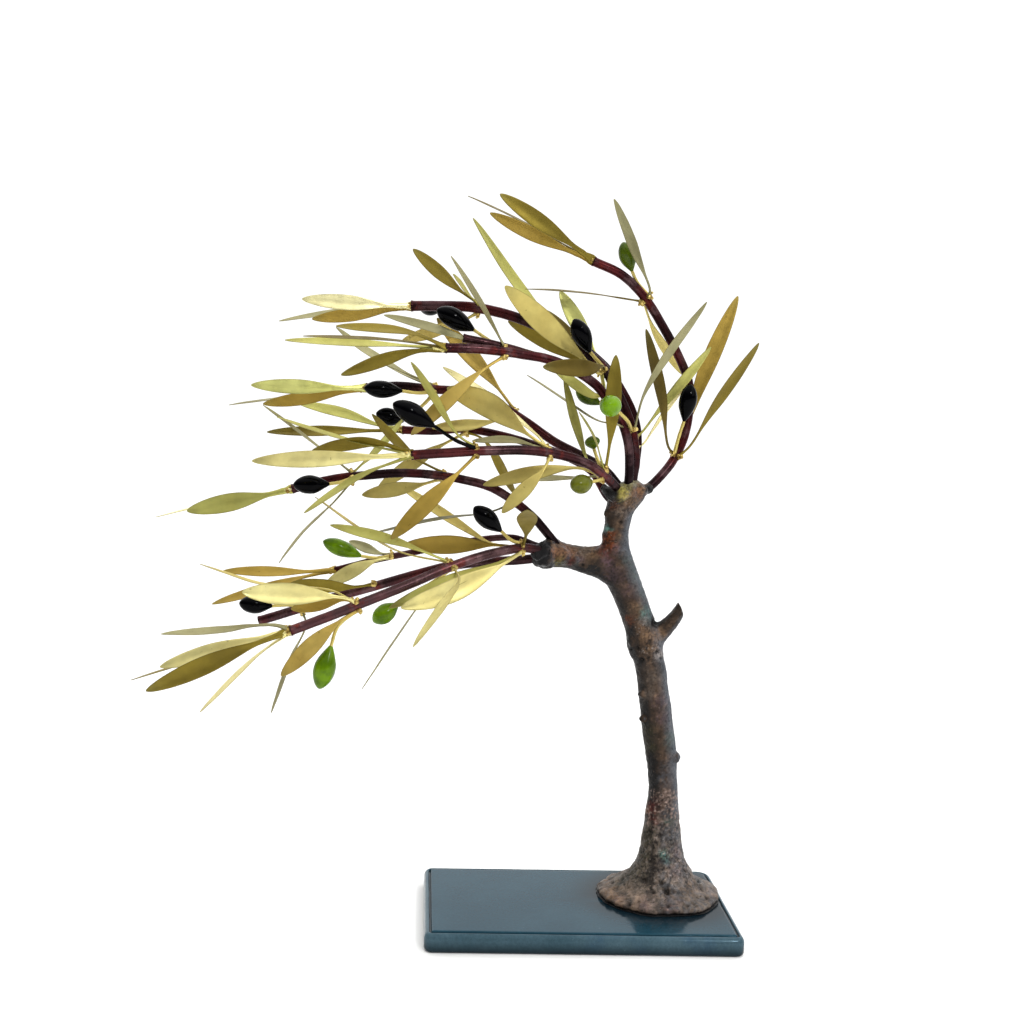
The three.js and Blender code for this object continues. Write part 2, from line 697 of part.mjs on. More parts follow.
function limbSolid(stations, sides, lumps) {
  const centres = stations.map((station) => place([...station.centre, trunkDepth]));
  const rings = stations.map((station, index) => {
    const before = centres[Math.max(index - 1, 0)];
    const after = centres[Math.min(index + 1, centres.length - 1)];
    const along = after.clone().sub(before).normalize();
    return roundRing(centres[index], along, station.half, sides, lumps);
  });
  return toSolid(loft(rings));
}

function footSolid() {
  const centre = place([657, 893, trunkDepth]);
  const profile = [[0, 1], [2.4, 1.02], [4.2, 0.96], [6, 0.82], [8.5, 0.64], [12.5, 0.48], [18, 0.37]];
  const sides = 16;
  const rings = profile.map(([height, share]) => Array.from({ length: sides }, (_, index) => {
    const angle = index / sides * Math.PI * 2;
    const lump = 1 + 0.035 * Math.sin(angle * 5 + 1) + 0.025 * Math.sin(angle * 3);
    const reach = footRadius * share * (share > 0.6 ? lump : 1);
    return new THREE.Vector3(
      centre.x + reach * Math.cos(angle),
      trunkDepth + reach * footDepthShare * Math.sin(angle),
      slabHeight + gap + height,
    );
  }));
  return toSolid(loft(rings));
}

function trunkGeometry() {
  let solid = footSolid()
    .add(limbSolid(trunkStations, 12, 0.035))
    .add(limbSolid(limbStations, 10, 0.03))
    .add(limbSolid(stubStations, 8, 0));
  for (const knob of knobs) {
    const centre = place(knob.centre);
    const ball = new THREE.IcosahedronGeometry(knob.radius, 1);
    ball.translate(centre.x, centre.y, centre.z);
    solid = solid.add(toSolid(ball));
  }
  for (const name of Object.keys(branches)) solid = solid.subtract(rod(name, gap));
  return toGeometry(solid);
}

function slabGeometry() {
  const x = slabLength / 2 - slabBevel;
  const y = slabDepth / 2 - slabBevel;
  const r = slabCorner - slabBevel;
  const outline = new THREE.Shape();
  outline.moveTo(-x + r, -y);
  outline.absarc(x - r, -y + r, r, -Math.PI / 2, 0);
  outline.absarc(x - r, y - r, r, 0, Math.PI / 2);
  outline.absarc(-x + r, y - r, r, Math.PI / 2, Math.PI);
  outline.absarc(-x + r, -y + r, r, Math.PI, Math.PI * 1.5);
  const geometry = new THREE.ExtrudeGeometry(outline, {
    depth: slabHeight - slabBevel * 2,
    bevelEnabled: true,
    bevelSize: slabBevel,
    bevelThickness: slabBevel,
    bevelSegments: 1,
    curveSegments: 3,
  });
  geometry.translate(0, 0, slabBevel);
  return toGeometry(toSolid(geometry));
}

// Materials

function coloured(colour, roughness, metalness) {
  return () => new THREE.MeshStandardMaterial({ color: colour, roughness, metalness });
}

const slate = coloured('#52666f', 0.45, 0);
const bronze = coloured('#5d4a40', 0.6, 0.8);
const copper = coloured('#42181c', 0.4, 0.8);
const brass = coloured('#b09a48', 0.35, 0.9);
const enamel = {
  black: coloured('#0b0c10', 0.12, 0),
  green: coloured('#567d10', 0.2, 0),
};

// The whole tree

const tree = new THREE.Group();

function addPart(name, geometry, material) {
  const mesh = new THREE.Mesh(geometry, material());
  mesh.name = name;
  tree.add(mesh);
}

addPart('slab', slabGeometry(), slate);
addPart('trunk', trunkGeometry(), bronze);
for (const name of Object.keys(branches)) addPart(`branch_${name}`, toGeometry(rod(name)), copper);
for (const name of Object.keys(sprays)) addPart(`leaves_${name}`, toGeometry(spraySolid(name)), brass);
for (const [name, olive] of Object.entries(olives)) {
  addPart(`olive_${name}`, toGeometry(oliveSolid(olive)), enamel[olive.colour]);
}

export default tree;
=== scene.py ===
"""A windswept olive tree made of metal on a stone slab: its looks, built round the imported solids.

Lengths are millimetres until a mesh is made, which turns them into metres. +Z is up, +X is to the
right of the front and +Y is to the back. A place is a pixel across and a pixel down in the front
view, and a depth along +Y in millimetres. A share runs from 0 to 1.
"""

import math
import random
from dataclasses import dataclass

import bmesh
import bpy
import numpy as np
from mathutils import Matrix, Vector, noise


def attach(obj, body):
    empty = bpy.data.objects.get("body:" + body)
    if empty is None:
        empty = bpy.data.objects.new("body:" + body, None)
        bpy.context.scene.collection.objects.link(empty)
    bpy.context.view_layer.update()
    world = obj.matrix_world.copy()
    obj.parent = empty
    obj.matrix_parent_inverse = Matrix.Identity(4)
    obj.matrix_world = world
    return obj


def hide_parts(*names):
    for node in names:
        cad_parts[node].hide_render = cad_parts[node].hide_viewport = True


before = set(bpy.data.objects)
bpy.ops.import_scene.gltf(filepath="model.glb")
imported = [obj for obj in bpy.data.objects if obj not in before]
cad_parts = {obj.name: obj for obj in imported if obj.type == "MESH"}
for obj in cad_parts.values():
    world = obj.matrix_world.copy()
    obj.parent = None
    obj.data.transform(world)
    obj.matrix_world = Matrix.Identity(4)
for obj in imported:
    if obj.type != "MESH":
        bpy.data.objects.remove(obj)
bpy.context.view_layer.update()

MILLIMETRE = 0.001

# The front view

EYE = Vector((-76, -625.5, 263))
TURN_RIGHT, TILT_DOWN, LEAN_RIGHT = (math.radians(angle) for angle in (3.22, 4.22, 2.02))
FOCAL_PIXELS = 1205
PICTURE_SIDE = 1024

FORWARD = Vector((
    math.sin(TURN_RIGHT) * math.cos(TILT_DOWN),
    math.cos(TURN_RIGHT) * math.cos(TILT_DOWN),
    -math.sin(TILT_DOWN),
))
LEVEL_RIGHT = Vector((math.cos(TURN_RIGHT), -math.sin(TURN_RIGHT), 0))
LEVEL_UP = LEVEL_RIGHT.cross(FORWARD)
VIEW_RIGHT = LEVEL_RIGHT * math.cos(LEAN_RIGHT) + LEVEL_UP * math.sin(LEAN_RIGHT)
VIEW_UP = LEVEL_UP * math.cos(LEAN_RIGHT) - LEVEL_RIGHT * math.sin(LEAN_RIGHT)


def place(across, down, depth):
    """The point that the front view shows at a pixel, at a depth along +Y."""
    ray = (
        FORWARD
        + VIEW_RIGHT * ((across - PICTURE_SIDE / 2) / FOCAL_PIXELS)
        + VIEW_UP * ((PICTURE_SIDE / 2 - down) / FOCAL_PIXELS)
    )
    return EYE + ray * ((depth - EYE.y) / ray.y)


def pixels_of(points):
    """The pixel across and down at which the front view shows each point."""
    offset = np.asarray(points) - np.array(EYE)
    far = offset @ np.array(FORWARD)
    across = PICTURE_SIDE / 2 + FOCAL_PIXELS * (offset @ np.array(VIEW_RIGHT)) / far
    down = PICTURE_SIDE / 2 - FOCAL_PIXELS * (offset @ np.array(VIEW_UP)) / far
    return across, down


# Measures shared with the solids

SLAB_LENGTH = 160
SLAB_DEPTH = 90
SLAB_HEIGHT = 10
TRUNK_DEPTH = 9
FOOT_RADIUS = 32
FOOT_DEPTH_SHARE = 0.9
FOOT_FORWARD = 1.2
FOOT_CENTRE = place(658, 893, TRUNK_DEPTH)


@dataclass
class Leaf:
    """Runs from a root on its branch through the via places to its tip. Roll turns the blade about
    its length, in degrees from facing the front view. Wide is in millimetres. Stalk and fat are the
    shares of the length where the blade begins, and of the blade where it is widest."""

    tip: tuple
    via: list
    wide: float
    roll: float
    tone: str = "gold"
    root: tuple = None
    stalk: float = 0.2
    fat: float = 0.54


@dataclass
class Olive:
    """Butt is where the stem enters, tip is the pointed end and thick is the diameter. Stem is what
    the stem passes on its way from the spray."""

    spray: str
    colour: str
    butt: tuple
    tip: tuple
    thick: float
    stem: list
    stalk: str = "gold"
    glaze: str = None


# Copper branches: radius, how dark the patina is, how much grey bloom and painted sheen lies on it, and the
# route from inside the trunk to the branch's end

BRANCHES = {
    "crown": (2.4, 0.35, 0, [
        (638, 496, 8), (655, 482, 12), (672, 462, 16), (683, 440, 18), (689, 412, 20), (689, 384, 20),
        (678, 355, 19), (662, 325, 17), (645, 298, 15), (622, 275, 12), (593, 261, 10),
    ]),
    "upper": (2.7, 0.55, 0, [
        (631, 489, 9), (633, 475, 8), (635, 463, 7), (634.5, 450, 6), (632, 432, 5.5), (627.5, 416, 5),
        (621.5, 402, 5.5), (614.5, 387, 6), (606, 371, 7), (578, 347, 9), (540, 327, 12), (505, 314, 14),
        (470, 307, 16), (440, 306, 17), (411, 306, 18),
    ]),
    "upperFront": (2.4, 0.3, 0, [
        (627.5, 489, 3), (629, 477, 1), (629.5, 463, 0), (629, 450, -1), (626.5, 436, -2), (621, 420, -4),
        (609, 402, -7), (595, 384, -10), (557, 362, -16), (520, 354, -22), (480, 349, -27),
        (445, 348, -30),
    ]),
    "middleFront": (2.4, 0.28, 0.1, [
        (621, 498, 6), (618, 490, -1), (612, 483, -8), (603, 475, -14), (590, 465, -18), (565, 456, -23),
        (530, 450.5, -28), (480, 451, -33), (445, 453, -35), (411, 455, -36),
    ]),
    "middle": (2.4, 0.45, 0, [
        (622, 490, 12), (605, 470, 14), (582, 456, 16), (555, 442, 18), (525, 421, 20), (495, 403, 21),
        (462, 392, 22), (430, 389, 23), (398, 386, 24), (366, 388, 24),
    ]),
    "middleBack": (2.2, 0.5, 0, [
        (622, 510, 13), (607, 496, 19), (592, 472, 26), (565, 456, 32), (538, 446, 35), (500, 435, 37),
        (464, 429, 38), (435, 431, 37), (402, 430, 36),
    ]),
    "limbRise": (2.3, 0.5, 0, [
        (559, 548, 7), (547, 533, 5), (533, 517, 2), (515, 502, 0), (490, 487, -2), (460, 479, -4),
        (430, 474.5, -5), (400, 473, -6), (370, 475, -7), (340, 478, -8), (315, 483, -8), (292, 489, -8),
    ]),
    "lowFront": (2.4, 0.1, 0.36, [
        (549, 554, 0.5), (545, 552, -2), (525, 548, -9), (490, 554, -18), (450, 567, -26),
        (410, 584, -33), (370, 600, -39), (330, 616, -44), (290, 631, -48),
    ]),
    "lowMiddle": (2.5, 0.25, 0.15, [
        (558, 558, 9), (540, 558, 11), (520, 560, 13), (485, 562, 16), (450, 566, 19), (410, 576, 22),
        (372, 587, 24), (325, 600, 26), (298, 609, 27), (259, 621, 28),
    ]),
    "lowBack": (1.8, 0.55, 0, [
        (558, 549, 13), (538, 546, 17), (515, 538, 24), (485, 539, 30), (450, 545, 35), (415, 552, 39),
        (375, 560, 42), (335, 570, 44),
    ]),
}

# Tubes that run close behind others and aren't solids of their own
TWINS = {
    "upperTwin": (2.3, 0.6, 0, [
        (632, 488, 11), (634, 474, 11.5), (636, 460, 11.8), (637.5, 446, 12), (637, 430, 12),
        (633.5, 415, 11.5), (627, 400, 11.2), (618.5, 385, 11.6), (607, 368.5, 12.5), (583, 348, 12.5),
        (556, 334.5, 12),
    ]),
    "frontTwin": (2.1, 0.4, 0.1, [
        (560, 363, -16), (545, 359, -17), (530, 354.5, -18), (510, 348.5, -19.5), (485, 342.5, -22.5),
        (463, 338, -24),
    ]),
}

# Brass sprays: the branch, the pixel of the joint on it, and the leaves

SPRAYS = {
    "crownTip": ("crown", (593, 261), [
        Leaf((500, 194, -4), [(560, 236)], 8.4, 15, "dark"),
        Leaf((490, 213, 14), [(556, 245)], 7.6, -20, "brown"),
        Leaf((468, 196, 24), [(545, 234), (500, 211)], 7.5, 84, "umber"),
    ]),
    "crownBend": ("crown", (645, 299), [
        Leaf((614, 199, -6), [(650, 290, 10), (634, 250, 0)], 8, 50, "grey", fat=0.5),
        Leaf((525, 289, 4), [(600, 295), (558, 291)], 7, 84, "umber"),
        Leaf((684, 376, 30), [(652, 325, 24)], 8, 52),
    ]),
    "crownFork": ("crown", (675, 456), [
        Leaf((759, 343, 2), [(690, 446, 12), (712, 410, 8)], 8, 48, "dark"),
        Leaf((738, 296, 30), [(689, 420, 26), (700, 385, 28)], 9, 5, "brown"),
        Leaf((646, 329, -4), [(668, 446, 10), (662, 400, 1)], 8, 42, "umber"),
    ]),
    "upperTip": ("upper", (411, 306), [
        Leaf((302, 299, 8), [(380, 305)], 8, 10, "shine"),
        Leaf((312, 319, 18), [(380, 311)], 7.6, -25, "brown"),
        Leaf((279, 321, 30), [(360, 309)], 7.5, 70, "grey"),
    ]),
    "upperBend": ("upper", (478, 309), [
        Leaf((413, 249, 24), [(458, 289)], 7.6, 22, "dark"),
        Leaf((453, 274, 6), [(468, 294)], 7, 72, "moss"),
        Leaf((402, 341, 22), [(462, 321, 20)], 7.4, -25),
    ]),
    "upperCrest": ("upper", (606, 369), [
        Leaf((505, 286, -4), [(599, 374, 0), (582, 357, 1), (555, 333, 1)], 11.8, 0),
        Leaf((473, 218, 26), [(585, 362, 16), (522, 291, 22)], 8, 48, "moss"),
        Leaf((508, 321, 26), [(580, 360, 18)], 8, -20, "dark"),
        Leaf((546, 310, 34), [(590, 356, 18)], 7, 40, "umber"),
        Leaf((560, 291, 20), [(594, 352, 15)], 8.6, 5, "lime"),
        Leaf((543, 367, -34), [(602, 366, -6), (590, 368, -18)], 9, 10, "umber"),
        Leaf((552, 368, -6), [(604, 391, 4), (596, 396, 2)], 7, 40, "moss"),
    ]),
    "upperFork": ("upper", (631, 430), [
        Leaf((707, 302, -20), [(645, 392, -12), (670, 350, -17)], 8, 58, "grey"),
        Leaf((711, 347, 13), [(643, 431, 12), (662, 406, 12)], 8, 48, "moss", root=(635, 438)),
        Leaf((690, 378, 20), [(644, 443, 14), (662, 415, 17)], 6, 66, "shine", root=(635, 449)),
        Leaf((527, 375, 10), [(616, 424, -9), (596, 420, 2), (558, 396, 9)], 7.5, 82, "grey", stalk=0.28),
    ]),
    "frontTip": ("upperFront", (445, 348), [
        Leaf((303, 336, -38), [(400, 341)], 7, 78, "umber"),
        Leaf((285, 340, -28), [(390, 345)], 7.5, 60, "moss"),
        Leaf((341, 375, -24), [(405, 353)], 7.4, -30, "dark"),
        Leaf((336, 326, -46), [(412, 333)], 7.5, 55, "dark"),
    ]),
    "frontBend": ("upperFront", (505, 350), [
        Leaf((451, 256, -18), [(480, 303)], 7, 66, "grey", stalk=0.04),
        Leaf((411, 435, -34), [(480, 372, -29)], 8, 22, "tan"),
        Leaf((424, 414, -18), [(487, 368, -20)], 7, 80),
        Leaf((384, 315, -4), [(462, 338, -23), (425, 326, -10)], 7, 50, "grey"),
    ]),
    "middleFrontTip": ("middleFront", (411, 455), [
        Leaf((252, 461, -44), [(345, 458)], 8.2, 8, "pale"),
        Leaf((312, 451, -26), [(375, 442), (340, 445)], 7.6, -35, "dark"),
        Leaf((277, 417, -18), [(355, 442), (305, 427)], 7, 74, "moss"),
        Leaf((304, 513, -42), [(365, 474)], 8, 66, "moss"),
    ]),
    "middleFrontBend": ("middleFront", (476, 451), [
        Leaf((391, 539, -50), [(455, 476, -42)], 8.6, 10, "brown"),
        Leaf((411, 362, -42), [(458, 435), (432, 395)], 7.5, 58, "moss"),
    ]),
    "middleFrontShoulder": ("middleFront", (550, 451), [
        Leaf((447, 388, -12), [(530, 436, -24), (490, 406, -16)], 12.6, 0),
        Leaf((472, 441, -24), [(515, 441, -26)], 8, 62, "grey"),
        Leaf((502, 513, -34), [(543, 470, -32)], 8, 28),
        Leaf((443, 367, 2), [(537, 435, -12), (490, 400, -2)], 8, 48, "shine"),
    ]),
    "middleFrontFork": ("middleFront", (603, 475), [
        Leaf((616, 355, -17), [(610, 440, -16)], 8.2, 8, "dark"),
        Leaf((579, 412, -22), [(594, 438)], 6, 80, "moss"),
        Leaf((483, 485, -6), [(578, 468, -9), (530, 474, -8)], 8, 20),
        Leaf((508, 479, 4), [(576, 478, -2)], 6.5, 60, "grey"),
        Leaf((564, 378, 0), [(589, 463, -4), (574, 420, 0)], 8, 54, "moss"),
    ]),
    "middleTip": ("middle", (366, 388), [
        Leaf((251, 385, 16), [(340, 388)], 7.8, 8, "lime"),
        Leaf((263, 404, 28), [(330, 394)], 7.4, -20, "brown"),
        Leaf((229, 405, 38), [(310, 395)], 7.5, 82, "grey"),
    ]),
    "middleBend": ("middle", (434, 389), [
        Leaf((336, 327, 32), [(400, 370, 28), (360, 347, 30)], 7.8, 60, "grey"),
        Leaf((356, 344, 44), [(408, 376, 34)], 7, 64, "grey"),
    ]),
    "middleShoulder": ("middle", (514, 413), [
        Leaf((437, 318, 36), [(490, 378, 30)], 9.2, 5, "tan"),
        Leaf((432, 428, 30), [(480, 424, 28)], 8, 38),
    ]),
    "middleBackTip": ("middleBack", (402, 430), [
        Leaf((267, 432, 32), [(350, 431)], 8, 46, "dark"),
        Leaf((298, 403, 48), [(375, 424), (345, 414)], 7.6, 42, "moss"),
    ]),
    "middleBackBend": ("middleBack", (466, 430), [
        Leaf((378, 488, 46), [(430, 452)], 8, 12),
        Leaf((516, 495, 30), [(484, 440, 34)], 8, 52, "dark"),
    ]),
    "limbRiseTip": ("limbRise", (292, 489), [
        Leaf((187, 511, -12), [(262, 496)], 9.4, 10, "moss"),
        Leaf((156, 517, -2), [(235, 499)], 7, 84, "shine"),
    ]),
    "limbRiseEnd": ("limbRise", (352, 477), [
        Leaf((263, 405, -2), [(330, 456)], 7.5, 78, "grey"),
        Leaf((403, 419, 12), [(372, 454, 8)], 7, 56, "moss"),
        Leaf((279, 563, -10), [(333, 503), (302, 534)], 7, 80, "grey"),
    ]),
    "limbRiseBend": ("limbRise", (443, 477), [
        Leaf((362, 495, 8), [(415, 486, 2)], 7.8, 14),
        Leaf((372, 414, 6), [(412, 456, 1), (390, 435, 3)], 7.6, 50, "dark"),
    ]),
    "limbRiseShoulder": ("limbRise", (513, 501), [
        Leaf((374, 533, -8), [(490, 512, -2), (440, 519, -5)], 7, 76, "lead"),
    ]),
    "lowFrontTip": ("lowFront", (290, 631), [
        Leaf((161, 634, -44), [(274, 625), (252, 626), (225, 630)], 7.5, 62, "grey"),
        Leaf((160, 667, -54), [(250, 641)], 8, 15, "pale"),
        Leaf((146, 691, -64), [(240, 650)], 9, -10, "dark"),
        Leaf((131, 680, -46), [(225, 652)], 7, 82, "dark"),
        Leaf((200, 712, -38), [(262, 652)], 7, 70, "shine"),
    ]),
    "lowFrontEnd": ("lowFront", (356, 605), [
        Leaf((242, 592, -60), [(345, 598, -47)], 10.6, 0, "pale"),
        Leaf((291, 609, -34), [(345, 600, -36)], 7.8, -30, "brown"),
        Leaf((281, 676, -52), [(336, 624, -45)], 8.6, 12, "tan"),
        Leaf((200, 564, -30), [(330, 590, -32), (260, 584), (225, 573)], 7, 80),
    ]),
    "lowFrontBend": ("lowFront", (452, 566), [
        Leaf((330, 525, -26), [(400, 543)], 7.6, 46, "moss"),
        Leaf((315, 497, -16), [(397, 551, -22), (362, 531)], 7, 80),
        Leaf((413, 647, -68), [(459, 580, -42), (447, 600, -58)], 7, 56, "pale"),
        Leaf((362, 689, -10), [(438, 580, -15)], 7, 84, "grey"),
    ]),
    "lowFrontShoulder": ("lowFront", (521, 548), [
        Leaf((404, 545, 0), [(495, 545, -6)], 9.8, 0, "brown"),
        Leaf((527, 510, -58), [(526, 535, -22), (527, 520, -36)], 10.2, 0, "dark"),
        Leaf((389, 608, -35), [(505, 560, -20), (440, 586, -35)], 8, 30, "moss"),
        Leaf((401, 608, -44), [(505, 563, -22), (450, 592, -37)], 11.2, -5, "pale"),
        Leaf((397, 484, 14), [(490, 543, 0), (477, 536, 4)], 7.5, 46),
    ]),
    "lowMiddleTip": ("lowMiddle", (301, 608), [
        Leaf((271, 713, 26), [(306, 624, 22), (293, 655, 24)], 7, 72, "grey"),
    ]),
    "lowMiddleEnd": ("lowMiddle", (375, 586), [
        Leaf((291, 583, 18), [(352, 587, 20)], 7.6, -18, "dark"),
    ]),
    "lowBackTip": ("lowBack", (335, 570), [
        Leaf((223, 571, 40), [(300, 572)], 7.6, 42, "brown"),
        Leaf((212, 604, 54), [(300, 578), (260, 590)], 7.6, 46, "brown"),
    ]),
    "lowBackEnd": ("lowBack", (392, 556), [
        Leaf((349, 541, 50), [(378, 553)], 7, 40, "grey"),
        Leaf((325, 585, 32), [(372, 562, 36)], 8, 10, "pale"),
    ]),
}

# Olives on their stems

OLIVES = {
    "crownGreen": Olive(
        "crownBend", "green", (632, 271, 12), (623, 242, 12), 9, [(637, 282)], glaze="deep",
    ),
    "crownBlack": Olive("crownFork", "black", (684, 421, 9), (691, 384, 6), 9.4, [(679, 436)]),
    "upperTipBlack": Olive(
        "upperTip", "black", (442, 308, 28), (421, 308.5, 42), 8, [(425, 307, 16), (443, 306, 22)],
    ),
    "upperCrestBlack": Olive("upperCrest", "black", (590, 352, -5), (574, 319, -8), 10, [(597, 360)]),
    "upperCrestGreen": Olive(
        "upperCrest", "green", (600, 404, 14), (576, 390, 18), 8.4, [(604, 396)], glaze="deep",
    ),
    "upperForkGreen": Olive(
        "upperFork", "green", (614, 408, -24), (608, 404, -41), 10.6, [(626, 419, -18)], glaze="lime",
    ),
    "frontBlack": Olive("frontBend", "black", (474, 330, -10), (437, 309, -12), 10.4, [(487, 339)]),
    "middleFrontBlack": Olive(
        "middleFrontBend", "black", (434, 426, -48), (393, 403, -52), 10.4, [(457, 441)], stalk="black",
    ),
    "middleFrontGreen": Olive(
        "middleFrontFork", "green", (592, 482, -20), (572, 486, -30), 9.8, [(599, 480)], glaze="khaki",
    ),
    "middleShadeGreen": Olive(
        "middleFrontFork", "green", (594, 449, -8), (591, 436, -8), 8, [(597, 458)], glaze="deep",
    ),
    "middleTipBlack": Olive("middleBend", "black", (402, 391, 15), (364, 388, 12), 9.4, [(419, 393)]),
    "middleBendBlack": Olive("middleBend", "black", (404, 421, 22), (376, 413, 20), 9.4, [(424, 404)]),
    "limbRiseBlack": Olive("limbRiseEnd", "black", (329, 484, -18), (293, 485, -20), 9.4, [(341, 482)]),
    "lowBackGreen": Olive("lowBackEnd", "green", (361, 556, 36), (323, 541, 34), 9.2, [(377, 558)]),
    "lowShoulderBlack": Olive(
        "lowFrontShoulder", "black", (501, 531, -14), (474, 507, -18), 10, [(511, 540)],
    ),
    "lowBendGreen": Olive(
        "lowFrontBend", "green", (398, 604, -18), (373, 622, -18), 9.8, [(436, 580, -20), (420, 590, -18)],
    ),
    "lowEndGreen": Olive("lowFrontEnd", "green", (331, 646, -44), (319, 689, -44), 10.6, [(338, 626)]),
    "lowMiddleBlack": Olive("lowMiddleTip", "black", (272, 606, 20), (239, 603, 18), 9.8, [(288, 605)]),
}


# Lines and rings

# A path's direction is read between two points, this share or at most this far to each side
DIRECTION_SHARE = 0.02
DIRECTION_REACH = 1.2


def smooth_line(points, steps=16):
    """A centripetal spline through the points."""
    ends = [points[0] * 2 - points[1], *points, points[-1] * 2 - points[-2]]
    line = []
    for before, start, finish, after in zip(ends, ends[1:], ends[2:], ends[3:]):
        gaps = ((before, start), (start, finish), (finish, after))
        first, middle, last = (math.sqrt((end - begin).length) for begin, end in gaps)
        ahead = (finish - start) / middle
        leave = (start - before) / first - (finish - before) / (first + middle) + ahead
        arrive = ahead - (after - start) / (middle + last) + (after - finish) / last
        leave = leave * middle
        arrive = arrive * middle
        for step in range(steps):
            share = step / steps
            line.append(
                start
                + leave * share
                + (finish * 3 - start * 3 - leave * 2 - arrive) * share**2
                + (start * 2 - finish * 2 + leave + arrive) * share**3
            )
    line.append(points[-1])
    return line


class Path:
    """A smooth line through places, read by the share of its length."""

    def __init__(self, points):
        self.line = np.array([list(point) for point in smooth_line(points)])
        steps = np.linalg.norm(np.diff(self.line, axis=0), axis=1)
        self.marks = np.concatenate([[0], np.cumsum(steps)])
        self.length = float(self.marks[-1])

    def at(self, share):
        where = unit(share) * self.length
        return Vector([float(np.interp(where, self.marks, self.line[:, axis])) for axis in range(3)])

    def along(self, share):
        step = min(DIRECTION_SHARE, DIRECTION_REACH / self.length)
        return (self.at(share + step) - self.at(share - step)).normalized()


def unit(values):
    """The values kept from 0 to 1."""
    return np.clip(values, 0, 1)


def fade(distance, reach):
    """1 at no distance, and almost nothing at twice the reach."""
    return math.exp(-((distance / reach) ** 2))


def across_line(point, along):
    """Two directions square to a line: one faces the eye as far as it can, the other goes sideways."""
    to_eye = (EYE - point).normalized()
    face = (to_eye - along * to_eye.dot(along)).normalized()
    side = along.cross(face).normalized()
    return face, side


def ring(sides):
    """The cosine and sine of evenly spaced angles."""
    angles = [index / sides * math.tau for index in range(sides)]
    return [(math.cos(angle), math.sin(angle)) for angle in angles]


def around(point, along, sides):
    """Evenly spaced directions square to a line."""
    face, side = across_line(point, along)
    return [side * cosine + face * sine for cosine, sine in ring(sides)]


def skin(rings, count):
    """Faces that join rings of equally many points and close both ends."""
    faces = []
    for step in range(rings - 1):
        for side in range(count):
            here = step * count + side
            beside = step * count + (side + 1) % count
            faces.append((here, beside, beside + count, here + count))
    faces.append(tuple(range(count))[::-1])
    faces.append(tuple(range((rings - 1) * count, rings * count)))
    return faces


def add_object(name, data):
    made = bpy.data.objects.new(name, data)
    bpy.context.scene.collection.objects.link(made)
    return made


class Shape:
    """Collects the parts of one mesh: points in millimetres, faces, paint per point and finish per
    face, which is the index of a material."""

    def __init__(self):
        self.points = []
        self.faces = []
        self.paint = []
        self.finish = []

    def add(self, points, faces, paint, finish=0):
        """Paint is one value for all points or one for each, and finish the same for the faces."""
        start = len(self.points)
        self.points += [tuple(point) for point in points]
        self.faces += [[start + index for index in face] for face in faces]
        self.paint += paint if isinstance(paint, list) else [paint] * len(points)
        self.finish += finish if isinstance(finish, list) else [finish] * len(faces)

    def make(self, name, materials, sharp=38):
        """Edges bent by more than sharp degrees stay sharp."""
        mesh = bpy.data.meshes.new(name)
        mesh.from_pydata((np.array(self.points) * MILLIMETRE).tolist(), [], self.faces)
        built = bmesh.new()
        built.from_mesh(mesh)
        bmesh.ops.recalc_face_normals(built, faces=built.faces)
        built.to_mesh(mesh)
        built.free()
        for material in materials:
            mesh.materials.append(material)
        mesh.polygons.foreach_set("material_index", self.finish)
        paint_points(mesh, self.paint)
        mesh.shade_smooth()
        mesh.set_sharp_from_angle(angle=math.radians(sharp))
        return add_object(name, mesh)


def paint_points(mesh, paint):
    layer = mesh.color_attributes.new("paint", "FLOAT_COLOR", "POINT")
    layer.data.foreach_set("color", np.array(paint, np.float32).ravel())


def settle(piece, node=None):
    """The piece is attached to the root body, and stands for a solid where it has one."""
    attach(piece, "root")
    if node:
        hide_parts(node)


# Shader building


def linear(red, green, blue):
    """A colour given in screen values from 0 to 255."""
    values = []
    for part in (red, green, blue):
        part = part / 255
        values.append(part / 12.92 if part <= 0.04045 else ((part + 0.055) / 1.055) ** 2.4)
    return (*values, 1)


class Nodes:
    """A node tree with a few short ways to add nodes."""

    def __init__(self, tree):
        self.tree = tree

    def put(self, socket, value):
        if isinstance(value, bpy.types.NodeSocket):
            self.tree.links.new(value, socket)
        else:
            socket.default_value = value

    def node(self, kind, inputs, output=0, **settings):
        made = self.tree.nodes.new(kind)
        for key, value in settings.items():
            setattr(made, key, value)
        for key, value in inputs.items():
            self.put(made.inputs[key], value)
        return made.outputs[output]

    def spread(self, value, low, high, start=0.0, end=1.0):
        """Start up to low, end from high on, and a smooth way between."""
        return self.node("ShaderNodeMapRange", {
            "Value": value,
            "From Min": low,
            "From Max": high,
            "To Min": start,
            "To Max": end,
        }, interpolation_type="SMOOTHSTEP")

    def sum(self, first, second, how="ADD"):
        return self.node("ShaderNodeMath", {0: first, 1: second}, operation=how)

    def product(self, first, second):
        return self.sum(first, second, "MULTIPLY")


